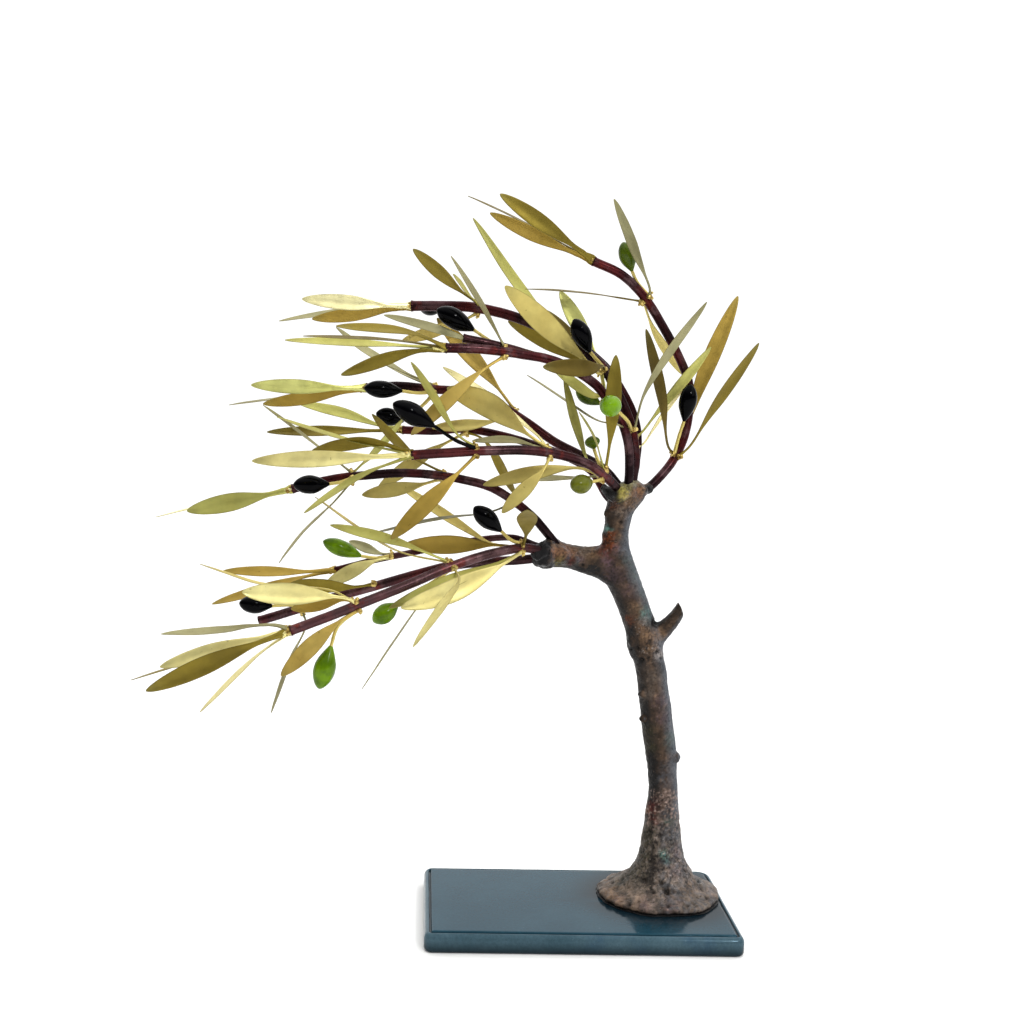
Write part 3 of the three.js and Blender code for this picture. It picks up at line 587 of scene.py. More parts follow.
class Look(Nodes):
    """A node material. The settings are values of the shader's own sockets."""

    def __init__(self, name, settings):
        self.material = bpy.data.materials.new(name)
        self.material.use_nodes = True
        super().__init__(self.material.node_tree)
        self.shader = self.tree.nodes["Principled BSDF"]
        for socket, value in settings.items():
            self.set(socket, value)
        self.places = self.node("ShaderNodeTexCoord", {}, "Object")

    def set(self, name, value):
        self.put(self.shader.inputs[name], value)

    def noise(self, scale, detail=4, rough=0.55, where=None):
        return self.node("ShaderNodeTexNoise", {
            "Vector": where or self.places,
            "Scale": scale,
            "Detail": detail,
            "Roughness": rough,
        })

    def cloud(self, scale, low, high, start=0.0, end=1.0, detail=4, rough=0.55, where=None):
        return self.spread(self.noise(scale, detail, rough, where), low, high, start, end)

    def mix(self, share, first, second, how="MIX"):
        inputs = {0: share, 6: first, 7: second}
        return self.node("ShaderNodeMix", inputs, 2, data_type="RGBA", blend_type=how)

    def layered(self, tint, *layers):
        """The tint with colours laid over it one after another, each by its share."""
        for share, colour in layers:
            tint = self.mix(share, tint, linear(*colour))
        return tint

    def shaded(self, tint, light):
        """The tint made lighter or darker."""
        grey = self.node("ShaderNodeCombineColor", {0: light, 1: light, 2: light})
        return self.mix(1.0, tint, grey, "MULTIPLY")

    def painted(self):
        """The paint layer as a colour and as its red, green and blue."""
        colour = self.node("ShaderNodeAttribute", {}, "Color", attribute_name="paint")
        parts = self.tree.nodes.new("ShaderNodeSeparateColor")
        self.put(parts.inputs[0], colour)
        return colour, *parts.outputs

    def bump(self, height, depth, strength):
        inputs = {"Height": height, "Strength": strength, "Distance": depth}
        self.set("Normal", self.node("ShaderNodeBump", inputs))


def brass(name, face, shade, rough=0.4):
    """Worked brass sheet. Paint holds the share along the blade, the share across it and a chance
    value of each leaf."""
    look = Look(f"brass_{name}", {
        "Metallic": 0.62,
        "Roughness": rough,
        "Specular Tint": (0.85, 0.78, 0.55, 1),
    })
    _, along, across, chance = look.painted()
    pits = look.cloud(500, 0.7, 0.76, 0.0, 0.4, 2, 0.5)
    stain = look.product(look.cloud(120, 0.6, 0.75, 0.0, 0.45, 4, 0.65), look.spread(chance, 0.2, 1.0))
    edge = look.spread(across, 0.88, 1.0, 0.0, 0.55)
    tip = look.spread(along, 0.8, 1.0, 0.0, 0.35)
    tint = look.mix(look.cloud(30, 0.3, 0.75, detail=2), linear(*face), linear(*shade))
    tint = look.shaded(tint, look.cloud(260, 0.3, 0.72, 0.94, 1.04, 3, 0.6))
    look.set("Base Color", look.layered(
        tint, (pits, (84, 68, 26)), (stain, (126, 96, 44)), (edge, (96, 86, 40)), (tip, (116, 112, 66)),
    ))
    look.set("Roughness", look.cloud(160, 0.3, 0.7, rough - 0.06, rough + 0.1))
    look.bump(look.sum(look.product(look.noise(240, 2, 0.5), 0.2), look.noise(90, 2)), 0.0003, 0.16)
    return look.material


def solder():
    """Pale brazing beads."""
    look = Look("solder", {"Metallic": 0.85, "Roughness": 0.34})
    cloud = look.cloud(260, 0.35, 0.68)
    look.set("Base Color", look.mix(cloud, linear(214, 190, 112), linear(120, 92, 40)))
    look.bump(look.noise(800), 0.0002, 0.7)
    return look.material


def copper():
    """Copper tube under a dark maroon patina. Paint holds the heat of the joints nearby, the grey bloom
    with its painted sheen, and the scorch."""
    look = Look("copper_tube", {
        "Metallic": 0.6,
        "Roughness": 0.32,
        "Specular IOR Level": 0.36,
        "Specular Tint": (0.5, 0.38, 0.44, 1),
    })
    _, heat, bloom_and_sheen, scorch = look.painted()
    dark = look.cloud(36, 0.46, 0.6, 0.0, 0.9, 3, 0.5)
    # Painted sheen: the grey is partly the patina's bloom and partly a painted highlight
    grey = look.sum(look.cloud(64, 0.5, 0.66, 0.0, 0.7, 5, 0.65), bloom_and_sheen)
    worn = look.cloud(420, 0.64, 0.8, 0.0, 0.35, 5, 0.75)
    flame = look.product(look.spread(heat, 0.15, 1.0, 0.0, 0.6), look.cloud(300, 0.42, 0.7))
    look.set("Base Color", look.layered(
        look.mix(look.cloud(60, 0.35, 0.7), linear(48, 17, 20), linear(92, 32, 32)),
        (dark, (20, 8, 10)),
        (grey, (112, 84, 86)),
        (worn, (120, 60, 48)),
        (flame, (118, 38, 24)),
        (scorch, (10, 5, 6)),
    ))
    look.set("Roughness", look.cloud(240, 0.3, 0.7, 0.22, 0.4))
    look.bump(look.noise(500, 4, 0.6), 0.00015, 0.4)
    return look.material


def bronze():
    """Rough patinated bronze. Paint is its mottling, with painted light and shade laid into it, and the
    paint's alpha is how rough it is.
    """
    look = Look("bronze", {"Metallic": 0.12, "Roughness": 0.5, "Specular IOR Level": 0.2})
    paint = look.painted()[0]
    rough = paint.node.outputs["Alpha"]
    shifted = look.node("ShaderNodeMapping", {"Vector": look.places, "Location": (3, 5, 7)})
    grit = look.sum(look.product(look.cloud(480, 0.3, 0.72, -0.5, 0.62, 6, 0.75), rough), 1.0)
    dirt_and_shade = look.product(look.cloud(560, 0.55, 0.65, 0.0, 0.85, 5, 0.75), rough)
    # Painted glints: pale specks on the rough parts
    glint_specks = look.product(look.cloud(950, 0.62, 0.7, 0.0, 0.8, 5, 0.75, shifted), rough)
    tint = look.layered(look.shaded(paint, grit), (dirt_and_shade, (22, 18, 16)), (glint_specks, (172, 152, 132)))
    look.set("Base Color", tint)
    look.set("Roughness", look.cloud(300, 0.3, 0.7, 0.3, 0.62))
    look.bump(look.sum(look.noise(900, 5, 0.75), look.product(look.noise(260), 2.0)), 0.0006, 0.8)
    return look.material


def slate():
    """Honed blue-grey stone that mirrors a little at a low angle. Paint holds 1 on the top face, the share
    of the height, and painted shade in the groove with a painted shadow round the foot."""
    look = Look("slate", {
        "Roughness": 0.3,
        "Specular IOR Level": 0.18,
        "Specular Tint": (0.5, 0.8, 1.0, 1),
    })
    _, on_top, height, dirt_and_shade = look.painted()
    cloud = look.cloud(26, 0.34, 0.68, detail=5, rough=0.6)
    blue = look.cloud(44, 0.5, 0.72, 0.0, 0.6)
    chips = look.cloud(420, 0.66, 0.76, 0.0, 0.35, 4, 0.7)
    top = look.mix(cloud, linear(22, 56, 70), linear(30, 64, 78))
    side = look.mix(cloud, linear(56, 78, 88), linear(72, 94, 104))
    tint = look.mix(on_top, look.layered(side, (blue, (34, 62, 88))), top)
    # Painted shade: the side grows darker towards the bottom
    tint = look.shaded(tint, look.spread(height, 0.05, 0.8, 0.22, 1.0))
    # Painted shade: near-black in the groove, and a painted shadow on the top round the foot
    tint = look.layered(tint, (dirt_and_shade, (10, 18, 24)))
    tint = look.shaded(tint, look.cloud(700, 0.3, 0.72, 0.86, 1.1, 5, 0.7))
    look.set("Base Color", look.layered(tint, (chips, (104, 126, 134))))
    look.set("Roughness", look.cloud(90, 0.3, 0.7, 0.07, 0.16, 5))
    look.bump(look.noise(300, 4, 0.6), 0.00012, 0.35)
    return look.material


def enamel(name, face, shade, specular=0.16, rough=0.2):
    """Glossy enamel with a little depth of colour."""
    look = Look(f"enamel_{name}", {"Roughness": rough, "Specular IOR Level": specular})
    cloud = look.cloud(120, 0.35, 0.68, detail=3)
    look.set("Base Color", look.mix(cloud, linear(*face), linear(*shade)))
    look.bump(look.noise(120, 2), 0.0002, 0.2)
    return look.material


# Tones of brass: face and shade, and roughness where it isn't the usual. The tones are partly the brass's
# own colours and partly painted light and shade: the light ones stand for leaves in light, the dark ones
# for leaves in shade
BRASS = {name: brass(name, *facts) for name, facts in {
    "gold": ((206, 190, 112), (184, 164, 90)),
    "shine": ((250, 242, 184), (236, 224, 160), 0.34),
    "pale": ((232, 222, 152), (214, 200, 128), 0.36),
    "lime": ((222, 222, 136), (200, 200, 112), 0.36),
    "tan": ((194, 168, 88), (168, 140, 64)),
    "brown": ((166, 139, 62), (137, 113, 42)),
    "dark": ((128, 112, 38), (98, 84, 26)),
    "moss": ((180, 178, 98), (156, 150, 76)),
    "umber": ((96, 80, 28), (70, 58, 20)),
    "grey": ((150, 146, 108), (112, 108, 76)),
    "lead": ((98, 98, 78), (70, 70, 54)),
}.items()}
SOLDER = solder()
COPPER = copper()
BRONZE = bronze()
SLATE = slate()
# Glazes of the olives. The deep glaze is partly a darker green and partly painted shade, given to olives
# that hang in shade
ENAMEL = {name: enamel(name, *facts) for name, facts in {
    "black": ((0, 0, 1), (2, 2, 4), 0.05, 0.11),
    "green": ((100, 134, 8), (68, 98, 2)),
    "lime": ((108, 149, 8), (80, 116, 3)),
    "khaki": ((94, 98, 22), (70, 74, 12)),
    "deep": ((74, 92, 12), (50, 68, 6)),
}.items()}
SPRAY_FINISHES = [*BRASS.values(), SOLDER, ENAMEL["black"]]
FINISH = {name: index for index, name in enumerate([*BRASS, "solder", "black"])}

# Branches

BRANCH_SAMPLES = 500
# The share of a branch from which a joint counts as its cut end
TIP_SHARE = 0.985
END_LEAN = 0.45
END_DEPTH = 0.6
JOINT_DEPTH = 0.2


class Branch:
    """A branch's path, with a place on it found from the pixel that shows it."""

    def __init__(self, radius, patina, bloom_and_sheen, route):
        self.radius = radius
        self.patina = patina
        self.bloom_and_sheen = bloom_and_sheen
        self.path = Path([place(*spot) for spot in route])
        self.shares = np.linspace(0, 1, BRANCH_SAMPLES)
        self.spots = pixels_of([self.path.at(share) for share in self.shares])
        self.joints = []

    def nearest(self, pixel):
        """The share of the length at which the branch passes closest to a pixel."""
        miss = np.hypot(self.spots[0] - pixel[0], self.spots[1] - pixel[1])
        return float(self.shares[int(np.argmin(miss))])


branches = {name: Branch(*facts) for name, facts in BRANCHES.items()}


def root_of(branch, joint, first_place):
    """Where a leaf or stem leaves its branch: the point, the way out and whether it is the cut end."""
    share = branch.nearest(joint)
    centre = branch.path.at(share)
    along = branch.path.along(share)
    out = first_place - centre
    at_end = share > TIP_SHARE
    if at_end:
        lean = out.normalized() - along * out.normalized().dot(along)
        point = centre + lean * branch.radius * END_LEAN - along * END_DEPTH
    else:
        out = out - along * out.dot(along)
        point = centre + out.normalized() * (branch.radius - JOINT_DEPTH)
    branch.joints.append(share)
    return point, out.normalized(), at_end


def with_depths(start_depth, spots):
    """Places for spots, where one that has no depth lies evenly between its neighbours."""
    last = len(spots) - 1
    known, known_index = start_depth, -1
    end = spots[last][2]
    points = []
    for index, spot in enumerate(spots):
        if len(spot) == 3:
            known, known_index = spot[2], index
            points.append(place(*spot))
        else:
            share = (index - known_index) / (last - known_index)
            points.append(place(*spot, known + (end - known) * share))
    return points


def path_from(branch, joint, spots):
    """A path that starts on a branch, and what root_of says of its start."""
    depth = branch.path.at(branch.nearest(joint)).y
    points = with_depths(depth, spots)
    root, out, at_end = root_of(branch, joint, points[0])
    return Path([root, *points]), root, out, at_end


# Leaves. A leaf starts as a round stalk and grows flat as its blade grows wide

SHEET = 0.42
STALK_HALF_WIDTH = 0.62
STALK_STEPS = 6
BLADE_STEPS = 26
BLADE_RISE = 1.15
BLADE_BLUNT = 0.56
# The blade's half width from which it is flat
FLAT_FROM = 1.6
CREASE = math.tan(math.radians(8))
CREASE_ROUND = 0.1
RIPPLE = 0.16
ACROSS_POINTS = 9
ACROSS = [-math.cos(math.pi * index / (ACROSS_POINTS - 1)) for index in range(ACROSS_POINTS)]
# How many times thicker than its solid a stalk is, at a cut end and elsewhere
STOUT_AT_END = 1.9
STOUT = 1.25
# Braze makes a stalk thicker near its root: by how much, and how far along it
ROOT_FLARE, ROOT_REACH = 0.7, 2.4
RUN_FLARE, RUN_UNEVEN, RUN_REACH = 0.55, 0.6, 9


def blade_width(share, fat):
    """Share of the full width at a share of the blade's length."""
    if share <= fat:
        return math.sin(math.pi / 2 * share / fat) ** BLADE_RISE
    return math.cos(math.pi / 2 * (share - fat) / (1 - fat)) ** BLADE_BLUNT


def add_leaf(shape, branch, joint, leaf, dice):
    path, root, out, at_end = path_from(branch, leaf.root or joint, [*leaf.via, leaf.tip])
    chance = dice.random()
    bow = dice.uniform(-1, 1)
    stout = STOUT_AT_END if at_end else STOUT
    roll = math.radians(leaf.roll)
    shares = [leaf.stalk * step / STALK_STEPS for step in range(STALK_STEPS)]
    shares += [
        leaf.stalk + (1 - leaf.stalk) * math.sin(math.pi / 2 * step / BLADE_STEPS) ** 1.1
        for step in range(BLADE_STEPS + 1)
    ]
    points = []
    paint = []
    for share in shares:
        point = path.at(share)
        face, side = across_line(point, path.along(share))
        width = side * math.cos(roll) - face * math.sin(roll)
        normal = face * math.cos(roll) + side * math.sin(roll)
        far = share * path.length
        flare = 1 + ROOT_FLARE * fade(far, ROOT_REACH)
        if at_end:
            uneven = noise.noise(Vector((far * 0.55, chance * 40, bow * 9)))
            flare += (RUN_FLARE + RUN_UNEVEN * uneven) * fade(far, RUN_REACH)
        blade = max(0.0, (share - leaf.stalk) / (1 - leaf.stalk))
        half = leaf.wide / 2 * blade_width(blade, leaf.fat) if share > leaf.stalk else 0.0
        thin = min(1.0, half / FLAT_FROM)
        half = math.hypot(half, STALK_HALF_WIDTH * stout * (1 - 0.75 * min(1, blade * 1.2)))
        half *= flare
        stalk = STALK_HALF_WIDTH * 0.8 * (1 - thin) * (1 - 0.6 * blade) * flare
        sheet = stalk + SHEET / 2 * thin
        top = []
        bottom = []
        tints = []
        for across in ACROSS:
            lift = half * CREASE * (math.hypot(across, CREASE_ROUND) - CREASE_ROUND) * thin
            ripple = noise.noise(Vector((blade * 5 + chance * 40, across * 0.9, bow * 9)))
            spot = point + width * (across * half) + normal * (lift + RIPPLE * ripple * thin)
            round_off = math.sqrt(max(0.0, 1 - across * across))
            thick = sheet * ((1 - thin) * round_off + thin * (0.35 + 0.65 * round_off**0.5))
            top.append(spot + normal * thick)
            bottom.append(spot - normal * thick)
            tints.append((blade, abs(across), chance, 1))
        points += top + bottom[::-1]
        paint += tints + tints[::-1]
    shape.add(points, skin(len(shares), ACROSS_POINTS * 2), paint, FINISH[leaf.tone])
    add_bead(shape, root, out, at_end, dice)


# Brazed beads, collars and wraps

BEAD_SIZES = (1.3, 1.8)
COLLAR_LUMPS = 6
WRAP_LUMPS = 4
# The first lump of a wrap and how much smaller each next one is, then where it lies and the step
WRAP_SIZE, WRAP_LESS = 1.75, 0.2
WRAP_START, WRAP_STEP = 1.6, 1.2
# Tips with at least this many leaves get a wrap
WRAPPED_LEAVES = 4
# The share of a tube at which the direction of its cut end is read
END_SHARE = 0.99


def ball(subdivisions):
    built = bmesh.new()
    bmesh.ops.create_icosphere(built, subdivisions=subdivisions, radius=1)
    points = [vertex.co.copy() for vertex in built.verts]
    faces = [[vertex.index for vertex in face.verts] for face in built.faces]
    built.free()
    return points, faces


BALL_POINTS, BALL_FACES = ball(3)


def jitter(dice, reach):
    """A random step of up to the reach along each axis."""
    return Vector([dice.uniform(-reach, reach) for _ in range(3)])


def add_lump(shape, centre, size, dice, finish, rough):
    """An uneven ball. Size is one radius, or three along X, Y and Z."""
    sizes = size if isinstance(size, list) else [size] * 3
    seed = jitter(dice, 50)
    points = []
    for point in BALL_POINTS:
        swell = 1 + rough * noise.noise(point * 1.3 + seed)
        swell += rough * 0.6 * noise.noise(point * 3.1 + seed)
        points.append(centre + Vector([part * radius for part, radius in zip(point, sizes)]) * swell)
    shape.add(points, BALL_FACES, (0, 0, 0.5, 1), finish)


def add_bead(shape, root, out, at_end, dice):
    """A bead with two crumbs where a stalk leaves its branch."""
    size = dice.uniform(*BEAD_SIZES)
    sizes = [size * dice.uniform(0.8, 1.2) for _ in range(3)]
    add_lump(shape, root + out * (0.6 if at_end else 0.3), sizes, dice, FINISH["solder"], 0.3)
    for _ in range(2):
        drift = jitter(dice, 1)
        crumb = size * dice.uniform(0.4, 0.6)
        add_lump(shape, root + out * size + drift * size * 0.7, crumb, dice, FINISH["solder"], 0.3)


def add_collar(shape, branch, dice):
    """Runs of braze round a tube's cut end, where its leaves are gathered."""
    end = branch.path.at(1)
    along = branch.path.along(END_SHARE)
    face, side = across_line(end, along)
    add_lump(shape, end + along * 0.3, branch.radius * 0.66, dice, FINISH["solder"], 0.3)
    for index in range(COLLAR_LUMPS):
        angle = (index + dice.uniform(-0.3, 0.3)) / COLLAR_LUMPS * math.tau
        rim = (side * math.cos(angle) + face * math.sin(angle)) * branch.radius * dice.uniform(0.25, 0.5)
        sizes = [dice.uniform(0.85, 1.25) for _ in range(3)]
        add_lump(shape, end + rim + along * dice.uniform(0.2, 2.8), sizes, dice, FINISH["solder"], 0.35)


def add_wrap(shape, branch, dice):
    """Braze run along the stalks of a full tip, growing thinner outwards."""
    end = branch.path.at(1)
    along = branch.path.along(END_SHARE)
    for step in range(WRAP_LUMPS):
        size = WRAP_SIZE - WRAP_LESS * step
        centre = end + along * (WRAP_START + WRAP_STEP * step) + jitter(dice, 0.4)
        add_lump(shape, centre, size, dice, FINISH["pale"], 0.4)


# Stems and whole sprays

STEM_RADIUS = 0.85
STEM_RINGS = 14
STEM_SIDES = 8


def add_stem(shape, branch, joint, olive, dice):
    path, root, out, at_end = path_from(branch, joint, [*olive.stem, olive.butt])
    points = []
    for step in range(STEM_RINGS):
        share = step / (STEM_RINGS - 1)
        point = path.at(share)
        swell = 1 + 0.35 * (1 - share) ** 3 + 0.12 * noise.noise(point * 0.8)
        for outward in around(point, path.along(share), STEM_SIDES):
            points.append(point + outward * STEM_RADIUS * swell)
    shape.add(points, skin(STEM_RINGS, STEM_SIDES), (0.1, 0.3, 0.5, 1), FINISH[olive.stalk])
    add_bead(shape, root, out, at_end, dice)


def build_spray(name, branch, joint, leaves):
    dice = random.Random(name)
    shape = Shape()
    for leaf in leaves:
        add_leaf(shape, branch, joint, leaf, dice)
    for olive in OLIVES.values():
        if olive.spray == name:
            add_stem(shape, branch, joint, olive, dice)
    if branch.nearest(joint) > TIP_SHARE:
        add_collar(shape, branch, dice)
        if len(leaves) >= WRAPPED_LEAVES:
            add_wrap(shape, branch, dice)
    settle(shape.make(f"spray_{name}", SPRAY_FINISHES), f"leaves_{name}")


# Tubes

TUBE_SIDES = 20
TUBE_STEP = 1.6
TUBE_WALL_SHARE = 0.3
# The share at which the direction of the lip is read
LIP_SHARE = 0.995
# The flared lip: millimetres back from the end, and share of the radius
TUBE_LIP = [(0.9, 1.07), (0.4, 1.12), (0.1, 1.07), (0, 0.97)]
# How far along a tube the heat of a joint reaches, and the scorch from its root and from its end
HEATED = 4.5
SCORCHED = 24
SCORCHED_END = 1.1


def build_tube(name, branch, node=None):
    path = branch.path
    tip = 1 / path.length
    wall = 1 - TUBE_WALL_SHARE
    steps = round(path.length / TUBE_STEP)
    rings = [(step / steps, 1.0) for step in range(steps)]
    rings += [(1 - back * tip, swell) for back, swell in TUBE_LIP]
    rings += [(1, wall), (1 - 0.9 * tip, wall * 0.94)]
    points = []
    paint = []
    for share, swell in rings:
        point = path.at(share)
        along = path.along(LIP_SHARE if share == 1 else share)
        from_root = share * path.length
        from_end = path.length - from_root
        burnt = max(0.92 * fade(from_root, SCORCHED), 0.75 * fade(from_end, SCORCHED_END))
        heat = sum(fade((share - joint) * path.length, HEATED) for joint in branch.joints)
        for outward in around(point, along, TUBE_SIDES):
            spot = point + outward * branch.radius
            dent = 1 + 0.03 * noise.noise(spot * 0.22) + 0.012 * noise.noise(spot * 0.9)
            points.append(point + outward * branch.radius * swell * dent)
            paint.append((min(1.0, heat), branch.bloom_and_sheen, max(branch.patina, burnt), 1))
    shape = Shape()
    faces = skin(len(rings), TUBE_SIDES)
    shape.add(points, faces, paint, [0] * (len(faces) - 1) + [1])
    settle(shape.make(f"tube_{name}", [COPPER, SOLDER]), node)


# Olives

OLIVE_SIDES = 32
OLIVE_RINGS = 25
OLIVE_WIDEST = 0.54
OLIVE_NECK = 0.86
OLIVE_ROUND = 2.05
OLIVE_POINT = 0.64
OLIVE_BUTT = 0.16
OLIVE_LEAST = 0.01


def olive_profile():
    """Shares of the length and of the radius: narrow at the stem, full in the middle, a short point."""
    profile = []
    for step in range(OLIVE_RINGS):
        share = (1 - math.cos(math.pi * step / (OLIVE_RINGS - 1))) / 2
        if share < OLIVE_WIDEST:
            body = math.sin(math.pi / 2 * share / OLIVE_WIDEST) ** OLIVE_NECK
        else:
            body = (1 - ((share - OLIVE_WIDEST) / (1 - OLIVE_WIDEST)) ** OLIVE_ROUND) ** OLIVE_POINT
        profile.append((share, body + OLIVE_BUTT * (1 - share) ** 9))
    return profile


def build_olive(name, olive):
    butt = place(*olive.butt)
    tip = place(*olive.tip)
    long = (tip - butt).length
    along = (tip - butt).normalized()
    outwards = around((butt + tip) / 2, along, OLIVE_SIDES)
    points = []
    for share, wide in olive_profile():
        centre = butt + along * (share * long)
        radius = max(wide, OLIVE_LEAST) * olive.thick / 2
        for outward in outwards:
            spot = centre + outward * radius
            swell = 1 + 0.05 * noise.noise(spot * 0.16) + 0.02 * noise.noise(spot * 0.5)
            points.append(centre + outward * (radius * swell))
    shape = Shape()
    shape.add(points, skin(OLIVE_RINGS, OLIVE_SIDES), (0.5, 0.5, 0.5, 1))
    piece = shape.make(f"bead_{name}", [ENAMEL[olive.glaze or olive.colour]], sharp=80)
    settle(piece, f"olive_{name}")


# Trunk: pixels of the outline on its two sides, across and down for each

COLUMN = [
    (621, 482, 636, 479), (613, 487, 642, 483), (609, 493, 646, 489), (607.5, 500, 644, 499),
    (606, 506, 639, 505), (604.5, 511, 635, 510), (604.5, 516, 632.5, 515), (604.8, 522, 630.5, 522),
    (603.8, 528, 629, 528), (602, 535, 628.8, 535), (602, 542, 628.8, 542), (601, 550, 630, 550),
    (602, 560, 633.5, 560), (602, 570, 637, 570), (604, 580, 640.5, 580), (609, 590, 644.3, 590),
    (614, 600, 648, 600), (618.5, 610, 651, 610), (622, 620, 655, 620), (625, 630, 660, 630),
    (626.3, 638, 663, 640), (626.8, 646, 662.6, 650), (629.5, 655, 663.6, 657), (633.5, 661, 665, 663),
    (635.5, 670, 666.3, 670), (637.3, 680, 667.2, 680), (638.4, 690, 669, 690), (639.3, 700, 670.2, 700),
    (640.5, 710, 671.6, 710), (640.6, 720, 672.6, 720), (642, 730, 673.6, 730), (643.5, 740, 675, 740),
    (645, 750, 676, 750), (646.3, 760, 676.5, 760), (647.5, 770, 676.9, 770), (648.5, 785, 677.5, 785),
    (648, 797, 677.8, 797), (646.3, 806, 678.3, 806), (644.6, 816, 679.2, 816), (643.5, 826, 680, 826),
    (642, 836, 680.9, 836), (640.4, 846, 682.2, 846), (638, 856, 684.3, 856), (634, 864, 687.5, 864),
    (628, 871, 693, 871),
]
LIMB = [
    (533, 546, 532, 559), (538, 543, 537, 566), (544, 540.5, 543, 569), (550, 536, 549, 568.5),
    (555, 537, 554, 567), (560, 540.5, 560, 567.5), (567, 543.3, 567, 568.4), (574, 545, 574, 570.5),
    (582, 546, 582, 573), (590, 546.5, 590, 575.5), (598, 546, 598, 578.5), (606, 542, 606, 585),
    (615, 540, 617, 590),
]
STUB = [
    (649, 628, 655, 654), (656, 622.5, 660.5, 650), (661.5, 620.5, 664.5, 642.5),
    (666.5, 616.3, 670.5, 634.5), (672, 610, 676.5, 627), (675.5, 605.5, 681, 621),
    (678.3, 601.2, 683.6, 615.5),
]
# Knobs and lumps: pixel across and down, depth and radius
KNOTS = [
    (642.5, 718.5, 5, 1.9), (674.2, 757.5, 7, 3.3), (642, 694, 5, 2), (632, 641, 5, 3),
    (607.5, 513, 6, 2), (545, 557.5, 1.2, 5.1), (543, 550, -2.5, 4.3), (537, 554, -5, 3.5),
    (538, 561, 3, 3.2), (549, 546, 2, 3.6), (548, 563.5, 4, 3.4), (561, 556, 4.2, 5.4), (572, 558, 6, 5),
    (628, 491.5, 2.4, 5), (620.5, 493.5, -2.5, 4.5), (615.5, 498, 0, 3.2), (609, 493, 1, 3.4),
    (604.5, 489, 4, 2.4), (640, 492, 5, 4), (648, 489, 9.5, 3), (598, 556, 6.5, 5.2),
]
# The foot: heights above the slab and shares of its radius
FOOT_PROFILE = [
    (0.1, 0.985), (0.9, 1.02), (1.9, 1.035), (3.0, 1.02), (4.0, 0.96), (5.0, 0.885), (6.2, 0.80),
    (7.8, 0.71), (9.8, 0.62), (12.5, 0.535), (16, 0.45), (21, 0.38), (26, 0.33),
]
FOOT_SIDES = 120
FOOT_SHIFT = Vector((5, 3, 9))
SHADOW_RING_PROFILE = [(0.02, 1.0), (0.02, 1.045), (0.3, 1.05), (0.6, 1.03), (0.6, 0.96)]
# The paint of the near-black ring under the foot, which is a painted shadow. The foot's own is laid later
SHADOW_RING_COLOUR = (9, 8, 9)
SHADOW_RING_ROUGHNESS = 0.2
TRUNK_VOXEL = 0.6
# Where two forms run into each other: pixel across and down, and reach in pixels
FILLETS = [
    (606, 545, 14), (612, 585, 14), (622, 560, 10), (664, 624, 8), (664, 645, 9), (612, 500, 7),
    (645, 500, 8), (633, 866, 12), (690, 866, 12), (660, 872, 16), (543, 556, 15), (563, 556, 10),
    (609, 498, 12),
]
BLEND_EVERYWHERE = 0.12
FILLET_ROUNDS = 40
SMOOTH_ROUNDS = 5
# Heights below which the trunk counts as low and as foot, and above which its undersides get painted shade
LOW_HEIGHT = 58
FOOT_HEIGHT = 24
UNDERSIDE_HEIGHT = 150
FOOT_GAP = 0.05
# Where the casting is roughest: pixel across and down, reach in pixels and strength
ROUGH_PARTS = [
    (625, 505, 20, 0.8), (606, 540, 16, 1.0), (575, 555, 20, 0.7), (640, 625, 18, 0.75),
    (650, 650, 16, 1.0), (662, 800, 16, 0.9), (660, 850, 34, 1.0), (657, 895, 60, 1.0),
]
# The middle of the foot and of the seam above it, and the seam's ends and width, in pixels
MIDDLE_ACROSS = 652
SEAM_TOP = 815
SEAM_BOTTOM = 893
SEAM_WIDTH = 2.2
SEAM_DEPTH = 0.5
# The worn ring low on the column, in pixels down
WORN_TOP = 788
WORN_BOTTOM = 836
PIT_DEPTH = 1.2
CRACK_WIDTH = 0.065
# Pits: pixel across and down, and reach in pixels
PITS = [
    (656.5, 623, 2.6), (650, 641, 1.6), (642, 660, 2.2), (648, 658, 1.5), (638, 648, 1.5),
    (657, 652, 1.6), (661, 658, 1.4), (554, 542, 1.6), (583, 565, 1.4), (662, 883, 2), (667, 893, 2.6),
    (654, 892, 1.8), (668, 906, 1.9), (688, 906, 1.5), (707, 898, 1.6), (660, 835, 1.8), (631, 650, 1.6),
    (621, 522, 1.4), (650, 862, 1.5), (612, 882, 1.8), (645, 880, 1.8), (699, 881, 1.8), (629, 905, 1.8),
]
# Colours of the patina, some of them also laid as painted light and shade
PATINA = {
    "brass": (158, 148, 66),
    "pearl": (150, 144, 112),
    "tan": (136, 106, 78),
    "copper": (146, 104, 76),
    "rust": (112, 56, 22),
    "blood": (84, 28, 22),
    "plum": (90, 70, 76),
    "umber": (44, 32, 22),
    "soot_and_shade": (21, 20, 20),
    "pitch": (7, 6, 8),
    "ash_and_sheen": (76, 82, 90),
    "sage": (70, 82, 80),
    "moss": (48, 45, 28),
    "verdigris": (86, 132, 124),
    "chalk_and_glint": (150, 142, 138),
    "rose": (146, 124, 114),
    "clay": (114, 102, 92),
    "earth": (78, 60, 46),
}
